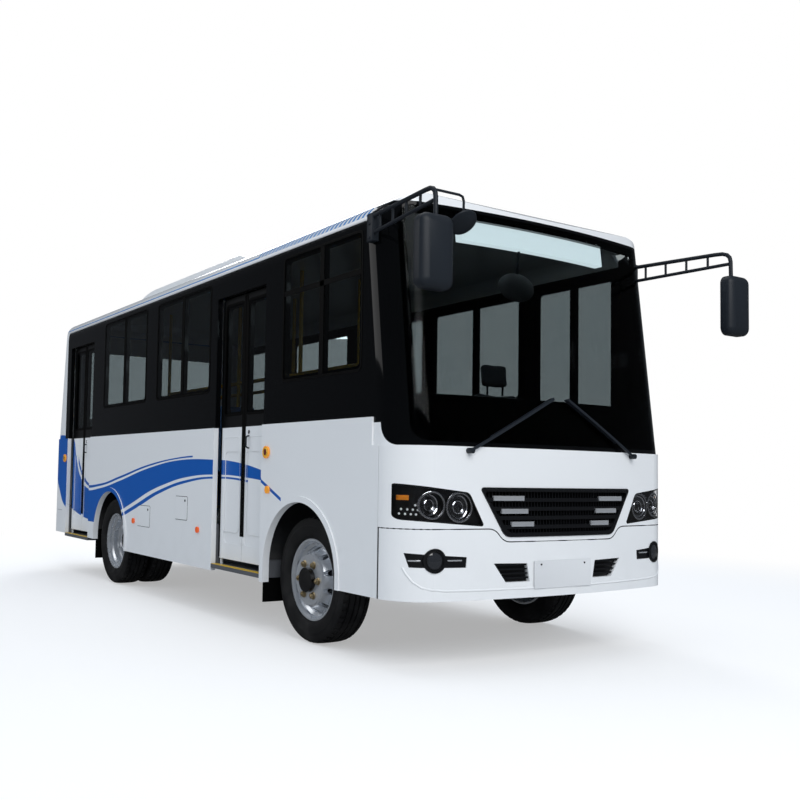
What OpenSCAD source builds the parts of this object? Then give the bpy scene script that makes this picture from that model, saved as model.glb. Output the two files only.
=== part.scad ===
// Small electric city bus with two in-swinging double doors on its right side.
// X points forward, Y to the left, Z up, in millimetres, with the ground at Z = 0.
// The modules place pieces from the front axle; datum() then shifts them so that
// the origin lies under the middle of the whole bus.

/* [Body] */
// Distance between the axles
wheelbase = 3540; // [3400:10:3800]
// Front axle to the middle of the front face
front_overhang = 1195; // [1150:5:1260]
// Rear axle to the rear face
rear_overhang = 1860; // [1800:10:1950]
// Width over the side panels
body_w = 2240; // [2200:10:2300]
// Height of the roof's crown
roof_h = 2795; // [2760:5:2890]
// Gutter, where the black window band ends, below the crown
gutter_drop = 205; // [190:5:230]
// Height of the belt line, where the white side ends
belt_z = 1418; // [1380:2:1450]
// Height of the windscreen's lower edge
sill_z = 1255; // [1235:5:1290]
// Upper edge of the front mask below the crown
header_drop = 125; // [122:1:140]
// Lower edge of the skirt between the axles
skirt_z = 345; // [320:5:360]
// Lower edge of the front bumper
bumper_z = 395; // [370:5:410]
// Thickness of the body walls
wall_t = 40; // [35:1:45]
// How far the window band stands in from the lower side
belt_step = 12; // [8:1:16]
// Lean of the windscreen and of the upper rear, in degrees
rake = 7; // [5:0.5:8]
// Radius of the front face in plan
front_r = 5850; // [5000:50:7000]
// Radius of the front corners in plan
corner_r = 260; // [230:5:280]
// Radius of the rear corners in plan
rear_corner_r = 160; // [130:5:170]
// Radius of the roof's crown
crown_r = 5600; // [5000:100:7000]
// Radius of the roof's edges
cove_r = 200; // [180:5:220]

/* [Wheels] */
// Tyre radius
tyre_r = 405; // [395:1:410]
// Tyre width
tyre_w = 226; // [215:1:230]
// Middle of the front wheel from the bus's middle
front_wheel_y = 921; // [915:1:925]
// Middle of the outer rear wheel
rear_wheel_y = 955; // [950:1:960]
// Spacing of the twin rear wheels
twin_gap = 255; // [250:1:260]
// Kingpin from the bus's middle
kingpin_y = 800; // [795:1:805]
// Radius of the front arch
front_arch_r = 447; // [440:1:455]
// Radius of the rear arch
rear_arch_r = 432; // [428:1:440]

/* [Doors] */
// Width of each doorway
door_w = 762; // [740:2:780]
// Rear jamb of the front doorway from the front axle
front_door_x = -1277; // [-1290:1:-1270]
// Rear jamb of the rear doorway behind the rear axle
rear_door_back = 1395; // [1385:1:1400]
// How far the door leaves stand in from the side
door_recess = 60; // [58:1:70]
// Thickness of a door leaf
leaf_t = 40; // [34:2:44]
// Lower edge of the door leaves
leaf_z0 = 440; // [430:5:450]
// Upper edge of the door leaves below the gutter
leaf_drop = 193; // [192:1:210]

/* [Cabin] */
// Height of the cabin floor
floor_z = 690; // [680:5:700]
// Height of the door steps
step_z = 395; // [390:1:400]
// Thickness of the floor
floor_t = 30; // [25:1:32]

/* [Hidden] */

$fn = 48;
fit_gap = 0.3;       // clearance between pieces that seat on each other
run_gap = 0.05;      // radial clearance of a shaft in its bore
open_gap = 1;        // radial clearance at the tie rod's right ball pin
seam = 4;            // gap between neighbouring body panels
mirror_reach = 355;  // mirrors ahead of the front face
far = 4000;          // half size of a cutting block

front_x = front_overhang;
rear_axle_x = -wheelbase;
rear_x = rear_axle_x - rear_overhang;
rear_door_x = rear_axle_x - rear_door_back;
datum_x = (-rear_x - front_x - mirror_reach) / 2;
half_w = body_w / 2;
band_y = half_w - belt_step;
cabin_y = half_w - wall_t;
gutter_z = roof_h - gutter_drop;
header_z = roof_h - header_drop;
leaf_z1 = gutter_z - leaf_drop;

// the front bow meets the corners, and the crown the coves, at this slight angle
crease = 4;
// turn, in degrees, at which a large arc meets an edge arc whose centre stands off by y
function meet_turn(large, edge, y) = atan2(edge * sin(crease), large - edge * cos(crease))
  + asin(y / norm([large - edge * cos(crease), edge * sin(crease)]));
// centres of the front bow and of the front corners in plan
bow_x = front_x - front_r;
corner_y = half_w - corner_r;
bow_turn = meet_turn(front_r, corner_r, corner_y);
corner_x = bow_x + front_r * cos(bow_turn) - corner_r * cos(bow_turn + crease);
// centres of the crown and of the coves in the roof's section
crown_z = roof_h - crown_r;
cove_y = band_y - cove_r;
crown_turn = meet_turn(crown_r, cove_r, cove_y);
cove_z = crown_z + crown_r * cos(crown_turn) - cove_r * cos(crown_turn + crease);
// splits along the body: side panel to front, band to mask, sides to rear
front_split = corner_x - 4;
mask_split = 700;
mask_drop = 798;
rear_split = rear_x + 340;
rear_belt_z = 640;
nose_r = 840;
nose_x = 600;
tail_r = 900;
tail_x = rear_x + 550;
profile_rise = 3;

module datum() { translate([datum_x, 0, 0]) children(); }

// Both sides of the bus: the right one as drawn at negative Y, the left one mirrored
module both_sides() {
  children();
  mirror([0, 1, 0]) children();
}

// Upright outline in X and Z, from y0 to y0 + t
module slab(y0, t) { translate([0, y0 + t, 0]) rotate([90, 0, 0]) linear_extrude(t) children(); }

// Upright outline in Y and Z, from x0 to x0 + t
module facing(x0, t) { translate([x0, 0, 0]) rotate([90, 0, 90]) linear_extrude(t) children(); }

module box(x0, x1, y0, y1, z0, z1) { translate([x0, y0, z0]) cube([x1 - x0, y1 - y0, z1 - z0]); }

// Rectangle with round corners, from (x0, y0) to (x1, y1)
module round_rect(x0, y0, x1, y1, r) {
  translate([x0 + r, y0]) square([x1 - x0 - 2 * r, y1 - y0]);
  translate([x0, y0 + r]) square([x1 - x0, y1 - y0 - 2 * r]);
  for (x = [x0 + r, x1 - r], y = [y0 + r, y1 - r]) translate([x, y]) circle(r);
}

// Outline with each corner rounded by its own radius, in short steps
arc_steps = 4;
function turn_in(a, b, c, r) = let (u = (a - b) / norm(a - b), v = (c - b) / norm(c - b),
  half = acos(u * v) / 2, mid = b + (u + v) / norm(u + v) * r / sin(half),
  s = b + u * r / tan(half) - mid, e = b + v * r / tan(half) - mid, sweep = 180 - 2 * half)
  [for (i = [0:arc_steps])
    mid + (sin(sweep * (1 - i / arc_steps)) * s + sin(sweep * i / arc_steps) * e) / sin(sweep)];
function round_off(points, radii) = let (n = len(points)) [for (i = [0:n - 1])
  each turn_in(points[(i + n - 1) % n], points[i], points[(i + 1) % n], radii[i])];

// Square corner at (x, y) that a round edge of radius r about (cx, cy) takes off
module corner_cut(x, y, cx, cy, r) {
  difference() {
    translate([x, y]) square(far);
    translate([cx, cy]) circle(r, $fn = 96);
  }
}

// Plan of the body, drawn in by d: bowed front, round front and rear corners
module plan(d) {
  reach = corner_y + (corner_r - d) * sin(atan2(corner_y, corner_x - bow_x));
  rear_y = half_w - rear_corner_r;
  rear_in = rear_x + rear_corner_r;
  difference() {
    intersection() {
      translate([bow_x, 0]) circle(front_r - d, $fn = 720);
      translate([rear_x + d, -half_w + d]) square([2 * far, body_w - 2 * d]);
    }
    for (s = [0, 1]) mirror([0, s]) {
      corner_cut(corner_x, reach, corner_x, corner_y, corner_r - d);
      corner_cut(rear_in - far, rear_y, rear_in, rear_y, rear_corner_r - d);
    }
  }
}

// Wall that follows the plan, from d0 to d1 inwards and from z0 to z1
module ring(d0, d1, z0, z1) {
  translate([0, 0, z0]) linear_extrude(z1 - z0) difference() {
    plan(d0);
    plan(d1);
  }
}

// Section of the roof and upper sides in Y and Z, drawn in by d
module loaf_section(d) {
  reach = cove_y + (cove_r - d) * sin(atan2(cove_y, cove_z - crown_z));
  difference() {
    intersection() {
      translate([0, crown_z]) circle(crown_r - d, $fn = 720);
      translate([-band_y + d, 0]) square([2 * (band_y - d), far]);
    }
    for (s = [0, 1]) mirror([s, 0]) corner_cut(reach, cove_z, cove_y, cove_z, cove_r - d);
  }
}

// What the roof's rounded nose (to = 1) or tail (to = -1) takes off, lowered by d
module end_cut(to, x, r, d) {
  translate([x, 0, roof_h + profile_rise - d - r]) difference() {
    box(to > 0 ? 1 : -far, to > 0 ? far : -1, -far, far, 0, far);
    translate([0, far / 2, 0]) rotate([90, 0, 0]) cylinder(r = r, h = far, $fn = 180);
  }
}

// Plan extruded along the raked front, drawn in by d
module front_prism(d) {
  translate([front_x, 0, sill_z]) rotate([0, -rake, 0]) translate([-front_x, 0, -far / 8])
    linear_extrude(far) plan(d);
}

// Plan extruded along the leaning rear, drawn in by d
module rear_prism(d) {
  translate([rear_x, 0, belt_z]) rotate([0, rake, 0]) translate([-rear_x, 0, -far / 8])
    linear_extrude(far) plan(d);
}

// Whole upper body, drawn in by d, for the front and for the rear half
module upper_front(d) {
  difference() {
    intersection() {
      front_prism(belt_step + d);
      facing(mid_x, far) loaf_section(d);
    }
    end_cut(1, nose_x, nose_r, d);
  }
}
module upper_rear(d) {
  difference() {
    intersection() {
      rear_prism(belt_step + d);
      facing(mid_x - far, far) loaf_section(d);
    }
    end_cut(-1, tail_x, tail_r, d);
  }
}
mid_x = (front_x + rear_x) / 2;

// Running gear sizes
axle_z = tyre_r;
rim_half = 88;       // half width over the rim's flanges
flange_r = 262;
bead_r = 247.6;
bead_half = 80;
face_t = 112;        // front hub face outside the wheel's middle
bore_t = face_t - 5;  // blind end of the front hub's bore
spindle_r = 32;
rear_spindle_r = 45;
kingpin_r = 20;
twin_mid = rear_wheel_y - twin_gap / 2;
arm_x = -150;        // ball pins of the steering arms behind the axle
rail_y = 350;
rail_w = 70;
rail_z0 = 490;
rail_z1 = floor_z - floor_t;
spring_y = 465;
spring_w = 70;
leaf_r = 2100;
leaf_pack = 50;
seat_half = 55;       // spring seats on the axles: half length, height over the axle's middle
front_seat_z = 25;
rear_seat_z = 75;
boss_half = 55;

// Wheel arches: x, radius, centre height
ARCHES = [[0, front_arch_r, 455], [rear_axle_x, rear_arch_r, 446]];
flare_w = 40;
flare_t = 10;

// Wheel houses: x, half length, inner wall, top
HOUSES = [[0, 495, 540, 945], [rear_axle_x, 470, 550, 930]];
house_t = 10;

module arch_cut() {
  for (a = ARCHES) {
    translate([a[0], a[2]]) circle(a[1], $fn = 96);
    translate([a[0] - a[1], 0]) square([2 * a[1], a[2]]);
  }
}

module arch_flares() {
  for (a = ARCHES) difference() {
    union() {
      translate([a[0], a[2]]) circle(a[1] + flare_w, $fn = 96);
      translate([a[0] - a[1] - flare_w, skirt_z]) square([2 * (a[1] + flare_w), a[2] - skirt_z]);
    }
    translate([a[0], a[2]]) circle(a[1], $fn = 96);
    translate([a[0] - a[1], 0]) square([2 * a[1], a[2]]);
  }
}

// White lower side from x0 to x1, its lower edge raised ahead of and behind the axles
module side_sections(sections) {
  difference() {
    for (s = sections) translate([s[0], skirt_z]) square([s[1] - s[0], belt_z - skirt_z]);
    translate([front_arch_r, 0]) square([far, bumper_z]);
    translate([rear_axle_x - rear_arch_r - far, 0]) square([far, bumper_z]);
  }
}

module side_wall(sections) {
  difference() {
    union() {
      slab(-half_w, wall_t) side_sections(sections);
      slab(-half_w - flare_t, flare_t) intersection() {
        arch_flares();
        side_sections(sections);
      }
    }
    slab(-far / 2, far) arch_cut();
    box(mask_drop, far, -far, 0, sill_z, far);
  }
}

module right_side_panel() {
  color("white") datum() side_wall([[rear_split, rear_door_x],
    [rear_door_x + door_w, front_door_x], [front_door_x + door_w, front_split]]);
}

module left_side_panel() {
  color("white") datum() mirror([0, 1, 0]) side_wall([[rear_split, front_split]]);
}

pane_lo = belt_z + 282;
pane_hi = gutter_z - 60;
cab_pane_lo = belt_z + 82;  // the driver's window reaches lower
// Side windows: rear edge, front edge, lower edge, upper edge, mullion from the rear edge
RIGHT_WINDOWS = [[rear_axle_x - 290, rear_axle_x + 815, pane_lo, pane_hi, 560],
                 [-2465, -1400, pane_lo, pane_hi, 540], [-265, 660, pane_lo, pane_hi, 480]];
LEFT_WINDOWS = [[rear_axle_x - 1360, rear_axle_x - 450, pane_lo, pane_hi, 460],
                [rear_axle_x - 290, rear_axle_x + 815, pane_lo, pane_hi, 560],
                [-2465, -1495, pane_lo, pane_hi, 490], [-1370, -265, pane_lo, pane_hi, 560],
                [-105, 660, cab_pane_lo, pane_hi, 380]];
glass_t = 6;
glass_lip = 25;
window_r = 40;
mullion_w = 50;

module panes(windows, lip) {
  for (w = windows) round_rect(w[0] + lip, w[2] + lip, w[1] - lip, w[3] - lip, window_r - lip / 2);
}

module mullions(windows) {
  for (w = windows) translate([w[0] + w[4] - mullion_w / 2, w[2]]) square([mullion_w, w[3] - w[2]]);
}

// Black upper side with stepped window cut-outs
module band(windows) {
  difference() {
    intersection() {
      slab(-band_y, wall_t) translate([rear_split, belt_z])
        square([mask_split - rear_split, gutter_z - belt_z]);
      facing(-2 * far, 3 * far) loaf_section(0);
    }
    slab(-band_y - 1, glass_t + 1) panes(windows, 0);
    slab(-band_y - 1, wall_t + 2) difference() {
      panes(windows, glass_lip);
      mullions(windows);
    }
  }
}

// Doorways: rear jamb of each
DOORS = [front_door_x, rear_door_x];
head_z = leaf_z1 + 6;
head_h = 50;
pin_r = 12;
pin_h = 32;
jamb_gap = 6;
meet_gap = 6;
leaf_y = -half_w + door_recess;
hinge_y = leaf_y + leaf_t / 2;
hinge_in = jamb_gap + leaf_t / 2;
leaf_w = (door_w - meet_gap) / 2 - jamb_gap;

// Places of the four door shafts
module at_hinges() {
  for (x = DOORS, s = [hinge_in, door_w - hinge_in]) translate([x + s, hinge_y, 0]) children();
}

module right_window_band() {
  color("#15171c") datum() difference() {
    union() {
      difference() {
        band(RIGHT_WINDOWS);
        for (x = DOORS) box(x, x + door_w, -far, 0, 0, head_z);
      }
      for (x = DOORS) box(x, x + door_w, -band_y + wall_t, leaf_y + leaf_t + 20, head_z, head_z + head_h);
    }
    at_hinges() translate([0, 0, head_z - 1]) cylinder(r = pin_r + run_gap, h = head_h + 2);
  }
}

module left_window_band() {
  color("#15171c") datum() mirror([0, 1, 0]) band(LEFT_WINDOWS);
}

module side_windows() {
  color("#2c3338", 0.6) datum() {
    slab(-band_y, glass_t) panes(RIGHT_WINDOWS, 0);
    mirror([0, 1, 0]) slab(-band_y, glass_t) panes(LEFT_WINDOWS, 0);
  }
}

roof_t = 30;

module roof() {
  color("white") datum() difference() {
    union() {
      intersection() {
        upper_front(0);
        box(mid_x, far, -far, far, gutter_z, far);
      }
      intersection() {
        upper_rear(0);
        box(-2 * far, mid_x, -far, far, gutter_z, far);
      }
    }
    intersection() {
      upper_front(roof_t);
      box(mid_x - 1, far, -far, far, 0, far);
    }
    intersection() {
      upper_rear(roof_t);
      box(-2 * far, mid_x + 1, -far, far, 0, far);
    }
    box(mask_split, far, -far, far, 0, header_z);
  }
}

pod_x0 = -4000;
pod_x1 = -1300;
pod_y = half_w - 360;
pod_z = roof_h + 95;
pod_r = 70;
pod_foot = 40;        // foot of the fairing's slopes below the crown
pod_rear = 500;       // length of its rear slope
pod_nose = 420;       // length of its front slope

// Low battery and cooling fairing on the roof, seated on the crown
module roof_pod() {
  color("white") datum() difference() {
    intersection() {
      facing(pod_x0, pod_x1 - pod_x0) round_rect(-pod_y, gutter_z - pod_r, pod_y, pod_z, pod_r);
      slab(-pod_y, 2 * pod_y) polygon([[pod_x0, 0], [pod_x0, roof_h - pod_foot], [pod_x0 + pod_rear, pod_z + 1],
        [pod_x1 - pod_nose, pod_z + 1], [pod_x1, roof_h - pod_foot], [pod_x1, 0]]);
    }
    facing(-2 * far, 3 * far) loaf_section(-fit_gap);
  }
}

rear_glass_y = half_w - 300;
rear_glass = [-rear_glass_y, belt_z + 222, rear_glass_y, gutter_z - 145];
wall_lap = 1;         // upper and lower rear overlap by this much
module rear_wall() {
  color("white") datum() {
    intersection() {
      ring(0, wall_t, rear_belt_z, belt_z);
      box(-2 * far, rear_split, -far, far, 0, far);
    }
    difference() {
      intersection() {
        upper_rear(0);
        box(-2 * far, rear_split, -far, far, belt_z - wall_lap, gutter_z);
      }
      upper_rear(wall_t);
      rear_pane(-1, glass_t);
      facing(rear_x, -rear_x + rear_split) round_rect(rear_glass[0] + glass_lip, rear_glass[1] + glass_lip,
        rear_glass[2] - glass_lip, rear_glass[3] - glass_lip, window_r);
    }
  }
}

module rear_pane(d0, d1) {
  intersection() {
    difference() {
      rear_prism(belt_step + d0);
      rear_prism(belt_step + d1);
    }
    facing(rear_x, -rear_x + rear_split)
      round_rect(rear_glass[0], rear_glass[1], rear_glass[2], rear_glass[3], window_r);
  }
}

module rear_window() {
  color("#2c3338", 0.6) datum() rear_pane(0, glass_t);
}

module rear_bumper() {
  color("white") datum() intersection() {
    ring(0, wall_t, bumper_z, rear_belt_z - seam);
    box(-2 * far, rear_split, -far, far, 0, far);
  }
}

lamp_t = 14;
tail_lamp_y = half_w - 360;
tail_lamp_w = 120;
// Rear lamps, lower and upper edge of each
TAIL_LAMPS = [[760, 1000], [1010, 1180], [1190, 1320]];
module tail_lamps() {
  color("#a01818") datum() both_sides() for (l = TAIL_LAMPS)
    box(rear_x - lamp_t, rear_x, -tail_lamp_y - tail_lamp_w, -tail_lamp_y, l[0], l[1]);
}

// Split between bumper and front panel in Y and Z
split_hi = 790;
split_lo = 715;
split_y0 = half_w - 668;
split_y1 = half_w - 600;
split_r = 90;
module bumper_side() {
  polygon(concat([[-far, 0], [-far, split_hi]],
    turn_in([-far, split_hi], [-split_y1, split_hi], [-split_y0, split_lo], split_r),
    turn_in([-split_y1, split_hi], [-split_y0, split_lo], [0, split_lo], split_r),
    turn_in([0, split_lo], [split_y0, split_lo], [split_y1, split_hi], split_r),
    turn_in([split_y0, split_lo], [split_y1, split_hi], [far, split_hi], split_r),
    [[far, split_hi], [far, 0]]));
}

// Front lamp outline in Y and Z: lower and upper inner corner, upper and lower outer corner
lamp_out = half_w - 19;
LAMP_CORNERS = [[-half_w + 530, 805], [-half_w + 426, 997], [-lamp_out, 1043], [-lamp_out, 843]];
LAMP_ROUND = [12, 45, 8, 30];
module lamp_shape(d) {
  c = LAMP_CORNERS;
  polygon(round_off([c[0] + [-d, d], c[1] + [-d, -d], c[2] + [0, -d], c[3] + [0, d]], LAMP_ROUND));
}
// Grille outline: half widths and heights of its lower and upper edge
grille_lo = half_w - 671;
grille_hi = half_w - 493;
grille_z0 = 744;
grille_z1 = 1027;
grille_rim = 24;
GRILLE_ROUND = [70, 70, 14, 14];
// Inner edge of the grille's rim at a given height
function rim_edge(z) = grille_lo - grille_rim
  + (grille_hi - grille_lo) * (z - grille_z0 - grille_rim) / (grille_z1 - grille_z0 - 2 * grille_rim);
module grille_shape(d) {
  polygon(round_off([[-grille_lo + d, grille_z0 + d], [grille_lo - d, grille_z0 + d],
    [grille_hi - d, grille_z1 - d], [-grille_hi + d, grille_z1 - d]], GRILLE_ROUND));
}

module front_zone() { box(front_split + seam, far, -far, far, 0, far); }

module front_panel() {
  color("white") datum() difference() {
    intersection() {
      ring(0, wall_t, split_lo + seam, sill_z);
      front_zone();
    }
    facing(0, far) translate([0, seam]) bumper_side();
    facing(front_split + seam, far) both_lamps(0);
    facing(0, far) grille_shape(0);
  }
}

module both_lamps(d) {
  lamp_shape(d);
  mirror([1, 0]) lamp_shape(d);
}

fog_y = half_w - 206;
fog_z = 619;
fog_r = 68;
fog_rim = 14;
// Corners of the fog lamp's surround from its middle
FOG_CORNERS = [[-148, 42], [-128, -37], [200, -41], [206, 18]];
module fog_shape(d) {
  c = FOG_CORNERS;
  translate([-fog_y, fog_z]) {
    circle(fog_r - d);
    polygon([c[0] + [d, -d], c[1] + [0, d], c[2] + [-d, d], c[3] + [-d, -d]]);
  }
}
module both_fogs(d) {
  fog_shape(d);
  mirror([1, 0]) fog_shape(d);
}
// Corners of the right intake in the bumper
INTAKE_CORNERS = [[-half_w + 594, 597], [-half_w + 680, 487], [-half_w + 858, 487], [-half_w + 837, 592]];
module intake_shape(d) {
  c = INTAKE_CORNERS;
  polygon([c[0] + [d, -d], c[1] + [d, d], c[2] + [-d, d], c[3] + [-d, -d]]);
}
module both_intakes(d) {
  intake_shape(d);
  mirror([1, 0]) intake_shape(d);
}

module front_bumper() {
  color("white") datum() difference() {
    intersection() {
      ring(0, wall_t, bumper_z, split_hi);
      front_zone();
      facing(0, far) bumper_side();
    }
    facing(0, far) both_fogs(0);
    facing(0, far) both_intakes(0);
  }
}

screen_y = half_w - 90;
screen_r = 90;
screen_z0 = sill_z + 25;
screen_z1 = header_z - 20;
screen_t = 8;
screen_lip = 42;
module screen_shape(d) { round_rect(-screen_y + d, screen_z0 + d, screen_y - d, screen_z1 - d, screen_r - d); }

// Black frame round the windscreen, with the front pillars
module front_mask() {
  color("#101216") datum() difference() {
    intersection() {
      difference() {
        front_prism(belt_step);
        front_prism(belt_step + wall_t);
      }
      facing(mid_x, far) loaf_section(0);
      box(mask_split, far, -far, far, sill_z, header_z);
    }
    box(mask_split - 1, mask_drop, -far, far, 0, belt_z);
    intersection() {
      difference() {
        front_prism(belt_step - 1);
        front_prism(belt_step + screen_t);
      }
      facing(mask_split, far) screen_shape(0);
    }
    facing(mask_split, far) screen_shape(screen_lip);
  }
}

module windscreen() {
  color("#5a6670", 0.5) datum() intersection() {
    difference() {
      front_prism(belt_step);
      front_prism(belt_step + screen_t);
    }
    facing(mask_split, far) screen_shape(0);
  }
}

// Round lamps of each headlamp: y, z, radius
LAMPS = [[half_w - 366, 914, 74], [half_w - 194, 924, 66]];
bowl_d = 80;
bowl_rim = 8;
bowl_in = 22;
lens_t = 4;
reflector_d = 34;
reflector_back = reflector_d + lens_t + 2;  // back of a reflector behind the front outline
dish_r = 66;

module headlamp_bowls() {
  color("#1b1d20") datum() both_sides() difference() {
    intersection() {
      ring(lens_t, bowl_d, 0, belt_z);
      facing(front_split + seam, far) lamp_shape(0);
    }
    difference() {
      intersection() {
        ring(0, bowl_in, 0, belt_z);
        facing(0, far) lamp_shape(bowl_rim);
      }
      box(-far, front_split + 16, -far, far, 0, far);
    }
    for (l = LAMPS) translate([corner_x + 60, -l[0], l[1]]) rotate([0, 90, 0]) cylinder(r = l[2], h = far / 4);
  }
}

module headlamp_reflectors() {
  color("silver") datum() both_sides() for (l = LAMPS)
    translate([lamp_face(l[0] + l[2]) - reflector_back, -l[0], l[1]]) rotate([0, 90, 0])
    rotate_extrude() difference() {
      square([l[2] - fit_gap, reflector_d]);
      translate([0, dish_r + bowl_rim]) circle(dish_r);
      translate([0, reflector_d - 6]) square([l[2] - bowl_rim, reflector_d]);
    }
}

// X of the plan's outline at a given Y
function lamp_face(y) = abs(y) < front_r * sin(bow_turn)
  ? bow_x + sqrt(pow(front_r, 2) - pow(y, 2))
  : corner_x + sqrt(pow(corner_r, 2) - pow(abs(y) - corner_y, 2));

module headlamp_lenses() {
  color("white", 0.4) datum() both_sides() intersection() {
    ring(0, lens_t, 0, belt_z);
    facing(front_split + seam, far) lamp_shape(fit_gap);
  }
}

// Grille bars: height of each bar's middle
GRILLE_BARS = [790, 842, 894, 946];
bar_h = 22;
bar_out = 2;          // the bars ahead of the front panel
slat_pitch = 24;
slat_half = 3;
slat_n = floor(grille_hi / slat_pitch);
grille_out = 6;       // the grille's rim ahead of the front panel
// Intake bars: height of each bar's lower edge
INTAKE_BARS = [505, 530, 555, 580];
intake_bar_h = 10;
module grille() {
  color("#17181a") datum() {
    intersection() {
      union() {
        ring(wall_t - 10, wall_t, 0, belt_z);
        intersection() {
          ring(-grille_out, wall_t, 0, belt_z);
          facing(0, far) difference() {
            grille_shape(fit_gap);
            grille_shape(grille_rim);
          }
        }
        intersection() {
          ring(-bar_out, wall_t, 0, belt_z);
          for (z = GRILLE_BARS) box(0, far, -far, far, z, z + bar_h);
        }
        intersection() {
          ring(14, wall_t, 0, belt_z);
          for (i = [-slat_n:slat_n])
            box(0, far, i * slat_pitch - slat_half, i * slat_pitch + slat_half, 0, belt_z);
        }
      }
      facing(0, far) grille_shape(fit_gap);
      front_zone();
    }
    intersection() {
      union() {
        ring(wall_t - 12, wall_t - 4, 0, belt_z);
        intersection() {
          ring(8, wall_t - 4, 0, belt_z);
          for (z = INTAKE_BARS) box(0, far, -far, far, z, z + intake_bar_h);
        }
      }
      facing(0, far) both_intakes(fit_gap);
      front_zone();
    }
  }
}

// Bright tapered inserts on the three upper bars, from the grille's edge inwards
insert_y = half_w - 725;
insert_t = 7;
insert_gap = 3;
module grille_inserts() {
  color("silver") datum() both_sides() intersection() {
    ring(-bar_out - insert_t, -bar_out, 0, belt_z);
    facing(0, far) for (i = [1:3]) insert_shape(GRILLE_BARS[i]);
  }
}
module insert_shape(z) {
  polygon([[-insert_y, z + 6], [-insert_y, z + bar_h - 4], [-rim_edge(z + bar_h) + insert_gap, z + bar_h],
    [-rim_edge(z) + insert_gap, z]]);
}

module fog_lamps() {
  color("#17181a") datum() intersection() {
    union() {
      intersection() {
        ring(4, wall_t, 0, belt_z);
        facing(0, far) both_fogs(fit_gap);
      }
      intersection() {
        ring(-6, wall_t, 0, belt_z);
        facing(0, far) both_fogs_rim();
      }
    }
    front_zone();
  }
}
module both_fogs_rim() {
  for (s = [-1, 1]) translate([s * fog_y, fog_z]) difference() {
    circle(fog_r - fit_gap);
    circle(fog_r - fog_rim);
  }
}

sign_y = screen_y - 430;
sign_z0 = header_z - 186;
sign_z1 = header_z - 36;
sign_t = 60;
module destination_sign() {
  color("#d8e2e6") datum() intersection() {
    difference() {
      front_prism(belt_step + wall_t);
      front_prism(belt_step + wall_t + sign_t);
    }
    facing(mask_split, far) translate([-sign_y, sign_z0]) square([2 * sign_y, sign_z1 - sign_z0]);
  }
}

// Wipers: pivot y, pivot z, tip y, tip z
WIPERS = [[-half_w + 414, sill_z - 23, -60, sill_z + 305], [half_w - 480, sill_z - 23, 60, sill_z + 305]];
wiper_out = 26;
arm_w = 16;
blade_w = 9;
module wipers() {
  color("#141414") datum() for (w = WIPERS) {
    difference() {
      translate([lamp_face(w[0]) - 20, w[0], w[1]]) rotate([0, 90, 0]) cylinder(r = arm_w, h = 60);
      translate([0, 0, w[1] - 40]) linear_extrude(80) plan(-fit_gap);
    }
    intersection() {
      difference() {
        front_prism(belt_step - wiper_out - 10);
        front_prism(belt_step - wiper_out);
      }
      facing(mask_split, far) wiper_line(w, 0, 1, arm_w);
    }
    intersection() {
      difference() {
        front_prism(belt_step - wiper_out - 4);
        front_prism(belt_step - 1);
      }
      facing(mask_split, far) wiper_line(w, 0.25, 1, blade_w);
    }
  }
}

// Straight bar in Y and Z from share a to share b of a wiper's length
module wiper_line(w, a, b, width) {
  dy = w[2] - w[0];
  dz = w[3] - w[1];
  length = sqrt(dy * dy + dz * dz);
  translate([w[0], w[1]]) rotate(atan2(dz, dy)) translate([a * length, -width / 2])
    square([(b - a) * length, width]);
}

module rod(a, b, r) {
  d = b - a;
  length = norm(d);
  translate(a) rotate([0, acos(d[2] / length), atan2(d[1], d[0])]) cylinder(r = r, h = length);
}

// Mirror arms: foot on the front corner, ladder of two rails and rungs, head at the tip
arm_foot = [780, -half_w - 8];
arm_turn = -8;
arm_l = 716;
arm_t = 24;
arm_bar = 22;
RUNGS = [90, 240, 390, 540];
// Side outline of the arm from its foot, measured from the gutter
ARM_SIDE = [[0, -125], [0, 5], [arm_l, -9], [arm_l - 60, -99]];
FOOT_X = [745, 815];
FOOT_Y = [-half_w - 25, -half_w + 80];
FOOT_Z = [gutter_z - 160, gutter_z + 10];
head_x = 1500;
head_y = half_w + 126;
head_z0 = gutter_z - 565;
head_z1 = gutter_z - 180;
head_w = 215;
head_d = 90;
head_r = 55;
head_bow = 305;
hanger_z = gutter_z - 25;
// Round mirror beside the right head: middle, radius, thickness
disc_y = head_y - 215;
disc_z = gutter_z - 185;
disc_r = 78;
disc_t = 22;
disc_lean = 50;
disc_bar = 14;
module arm_outline(d) {
  c = ARM_SIDE;
  translate([0, gutter_z]) polygon([c[0] + [d, d], c[1] + [d, -d], c[2] + [-d, -d], c[3] + [-d, d]]);
}
module arm_ladder() {
  intersection() {
    arm_outline(0);
    union() {
      difference() {
        arm_outline(0);
        arm_outline(arm_bar);
      }
      for (u = RUNGS) translate([u, FOOT_Z[0]]) square([arm_bar / 2, FOOT_Z[1] - FOOT_Z[0]]);
    }
  }
  translate([arm_l - arm_bar - 8, head_z1 - 40]) square([arm_bar, hanger_z - head_z1 + 40]);
}
module mirror_head() {
  translate([arm_foot[0], arm_foot[1], 0]) rotate([0, 0, arm_turn]) slab(-arm_t / 2, arm_t) arm_ladder();
  difference() {
    box(FOOT_X[0], FOOT_X[1], FOOT_Y[0], FOOT_Y[1], FOOT_Z[0], FOOT_Z[1]);
    front_prism(belt_step - fit_gap);
  }
  intersection() {
    facing(head_x - head_d / 2, head_d)
      round_rect(-head_y - head_w / 2, head_z0, -head_y + head_w / 2, head_z1, head_r);
    translate([head_x + head_d / 2 - head_bow, -head_y, 0]) cylinder(r = head_bow, h = far, $fn = 96);
  }
}
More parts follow.
